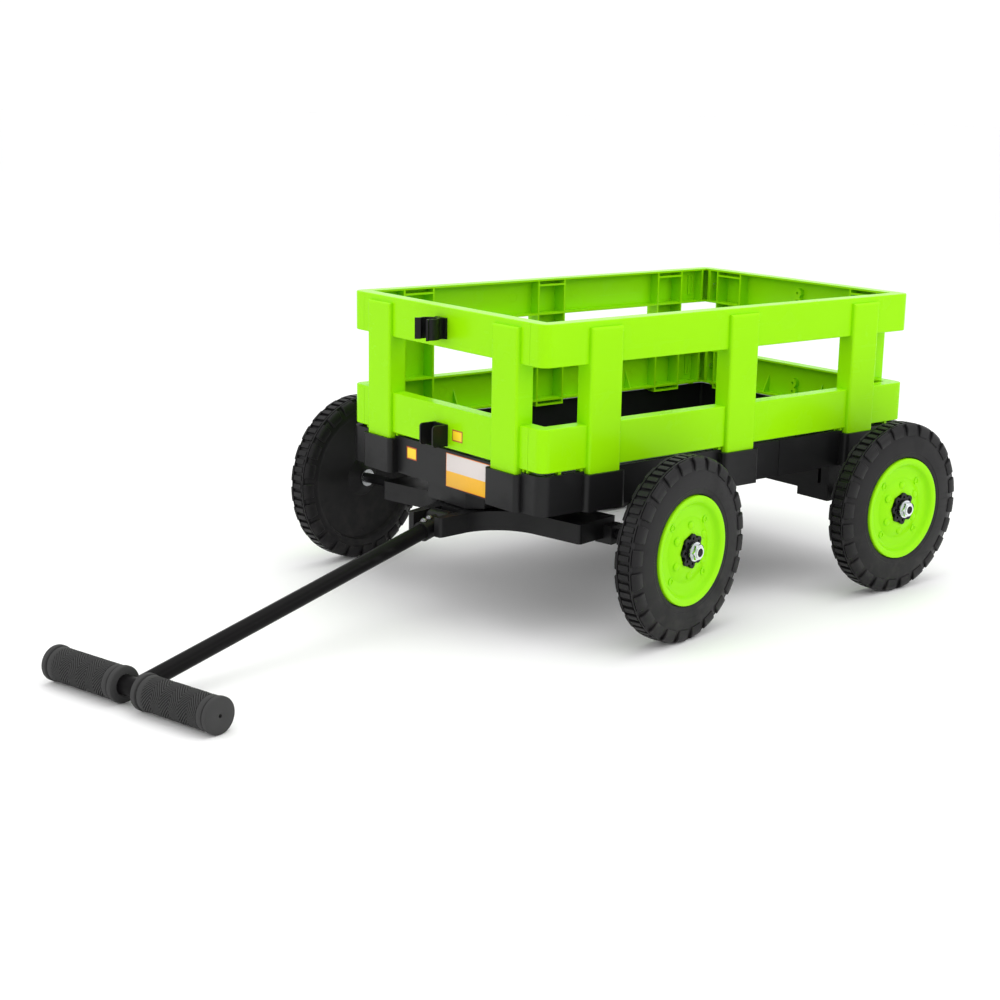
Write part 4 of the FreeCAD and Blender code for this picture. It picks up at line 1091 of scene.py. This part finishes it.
class Tray:
    """The charcoal tray, its stickers and the moulded parts under it."""

    def build(self) -> None:
        """Dress the tray and the underside, and lay the stickers on."""
        dress_nodes(Finish.TRAY, ["tray", "steering_mount", "steering_bearing", "rear_axle_beam"])
        dress_nodes(Finish.CLIP, ["upper_clip", "lower_clip"])
        dress_nodes(Finish.ZINC, ["clip_screws", "mount_screws", "rear_beam_screws", "kingpin",
                                  "kingpin_washer", "kingpin_nut"])
        self.stickers()

    def stickers(self) -> None:
        """The three blank stickers on the front, in plain blocks of colour."""
        boxes = sorted(self.shells(frame["nodes"]["labels"]), key=lambda box: box[0].z)
        inks = {"large_sticker": LARGE_STICKER, "tray_sticker": SMALL_STICKER,
                "rail_sticker": SMALL_STICKER}
        for (name, ink), (low, high) in zip(inks.items(), boxes):
            film = PrintedFilm(name, low, high, ink.border, ink.field_colour, ink.upper,
                               ink.split, ink.edge * MM)
            select_nothing()
            bpy.ops.mesh.primitive_cube_add(size=1.0, location=(low + high) / 2, scale=high - low)
            sticker = place_in_mesh(begin(name))
            rounding = sticker.modifiers.new("corners", "BEVEL")
            rounding.width = 0.12 * MM
            rounding.segments = 2
            bpy.ops.object.modifier_apply(modifier=rounding.name)
            settle(sticker, 30)
            dress(sticker, film.build())
            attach(sticker, "bed")
            if ink is LARGE_STICKER:
                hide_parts("labels")
            LOG.info("piece %s on bed", name)

    @staticmethod
    def shells(node: bpy.types.Object) -> list[tuple[Vector, Vector]]:
        """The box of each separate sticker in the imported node.

        Args:
            node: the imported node.

        Returns:
            Each sticker's lowest and highest corner.
        """
        boxes: list[tuple[Vector, Vector]] = []
        for face in node.data.polygons:
            points = [node.data.vertices[index].co for index in face.vertices]
            low = Vector(min(p[axis] for p in points) for axis in range(3))
            high = Vector(max(p[axis] for p in points) for axis in range(3))
            keep = []
            for other_low, other_high in boxes:
                if any(low[a] > other_high[a] + TOUCH or other_low[a] > high[a] + TOUCH
                       for a in range(3)):
                    keep.append((other_low, other_high))
                else:
                    low = Vector(min(low[a], other_low[a]) for a in range(3))
                    high = Vector(max(high[a], other_high[a]) for a in range(3))
            boxes = keep + [(low, high)]
        return boxes


class RunningGear:
    """The carriage, the axles and their hardware."""

    def build(self) -> None:
        """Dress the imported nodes."""
        dress_nodes(Finish.TRAY, ["steering_carriage"])
        dress_nodes(Finish.AXLE, ["front_axle", "rear_axle"])
        dress_nodes(Finish.HUB, ["front_spacers", "rear_spacers"])
        dress_nodes(Finish.ZINC, ["front_washers", "rear_washers", "front_nuts", "rear_nuts"])
        dress_nodes(Finish.BOLT, ["hitch_bolt", "hitch_nut"])


# ---- studio --------------------------------------------------------------------------------------
@dataclass(frozen=True)
class Lamp:
    """A rectangular soft light turned towards a point; metres and watts."""

    name: str
    place: tuple[float, float, float]
    aim: tuple[float, float, float]
    size: tuple[float, float]
    power: float

    def build(self) -> None:
        """Add the light to the scene."""
        data = bpy.data.lights.new(self.name, "AREA")
        data.shape = "RECTANGLE"
        data.size, data.size_y = self.size
        data.energy = self.power
        lamp = bpy.data.objects.new(self.name, data)
        lamp.location = self.place
        towards = Vector(self.aim) - Vector(self.place)
        lamp.rotation_euler = towards.to_track_quat("-Z", "Y").to_euler()
        bpy.context.scene.collection.objects.link(lamp)


@dataclass
class Studio:
    """A white floor, soft lights and the camera."""

    eye: tuple[float, float, float] = (1.64535, -1.26363, 0.6206)
    azimuth: float = 50.53
    elevation: float = 13.45
    roll: float = 1.28
    focal_share: float = 1.73844
    shift: tuple[float, float] = (-0.03995, 0.00207)
    sensor: float = 36.0
    surroundings: float = 1.07
    lamps: tuple[Lamp, ...] = (
        Lamp("top_light", (0.2, 0.3, 2.6), (0, 0, 0.1), (2.2, 2.2), 20.0),
        Lamp("side_light", (2.6, 1.4, 1.5), (0, 0, 0.2), (1.8, 1.4), 14.0),
        Lamp("front_light", (-0.6, -3.0, 1.7), (0, 0, 0.2), (1.8, 1.2), 12.0))

    def camera(self) -> None:
        """Set the camera from its direction angles."""
        azimuth, elevation, roll = map(math.radians, (self.azimuth, self.elevation, self.roll))
        ahead = Vector((-math.sin(azimuth) * math.cos(elevation),
                        math.cos(azimuth) * math.cos(elevation), -math.sin(elevation)))
        right = Vector((math.cos(azimuth), math.sin(azimuth), 0))
        up = right.cross(ahead)
        side = right * math.cos(roll) + up * math.sin(roll)
        top = up * math.cos(roll) - right * math.sin(roll)
        data = bpy.data.cameras.new("camera")
        data.sensor_width = self.sensor
        data.lens = self.focal_share * self.sensor
        data.shift_x, data.shift_y = self.shift
        camera = bpy.data.objects.new("camera", data)
        turn = Matrix((side, top, -ahead)).transposed().to_4x4()
        camera.matrix_world = Matrix.Translation(self.eye) @ turn
        bpy.context.scene.collection.objects.link(camera)
        bpy.context.scene.camera = camera

    def floor(self) -> None:
        """A wide pale floor."""
        select_nothing()
        bpy.ops.mesh.primitive_plane_add(size=60.0, location=(0, 0, 0))
        floor = bpy.context.object
        floor.name = "floor"
        sheet = Sheet("white_floor")
        cloud = sheet.noise(sheet.place(), 0.6, 2.0)
        colour = sheet.blend(cloud, (0.93, 0.93, 0.93, 1.0), (0.95, 0.95, 0.95, 1.0))
        dress(floor, sheet.finish({"Base Color": colour, "Roughness": 0.6,
                                   "Specular IOR Level": 0.15}))

    def build(self) -> None:
        """Make the floor, the lights, the surroundings and the camera."""
        self.floor()
        self.camera()
        for lamp in self.lamps:
            lamp.build()
        world = bpy.data.worlds.new("surroundings")
        bpy.context.scene.world = world
        world.use_nodes = True
        background = world.node_tree.nodes["Background"]
        background.inputs["Color"].default_value = (1, 1, 1, 1)
        background.inputs["Strength"].default_value = self.surroundings
        bpy.context.scene.view_settings.view_transform = "Standard"


def main() -> None:
    """Build every sub-assembly in order, and log each one's name."""
    logging.basicConfig(level=logging.INFO, format="%(name)s: %(message)s")
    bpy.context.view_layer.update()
    for assembly in (Studio(), WheelSet(), DrawHandle(), SlattedBox(), Tray(), RunningGear()):
        LOG.info("building %s", type(assembly).__name__)
        assembly.build()


if __name__ == "__main__":
    main()
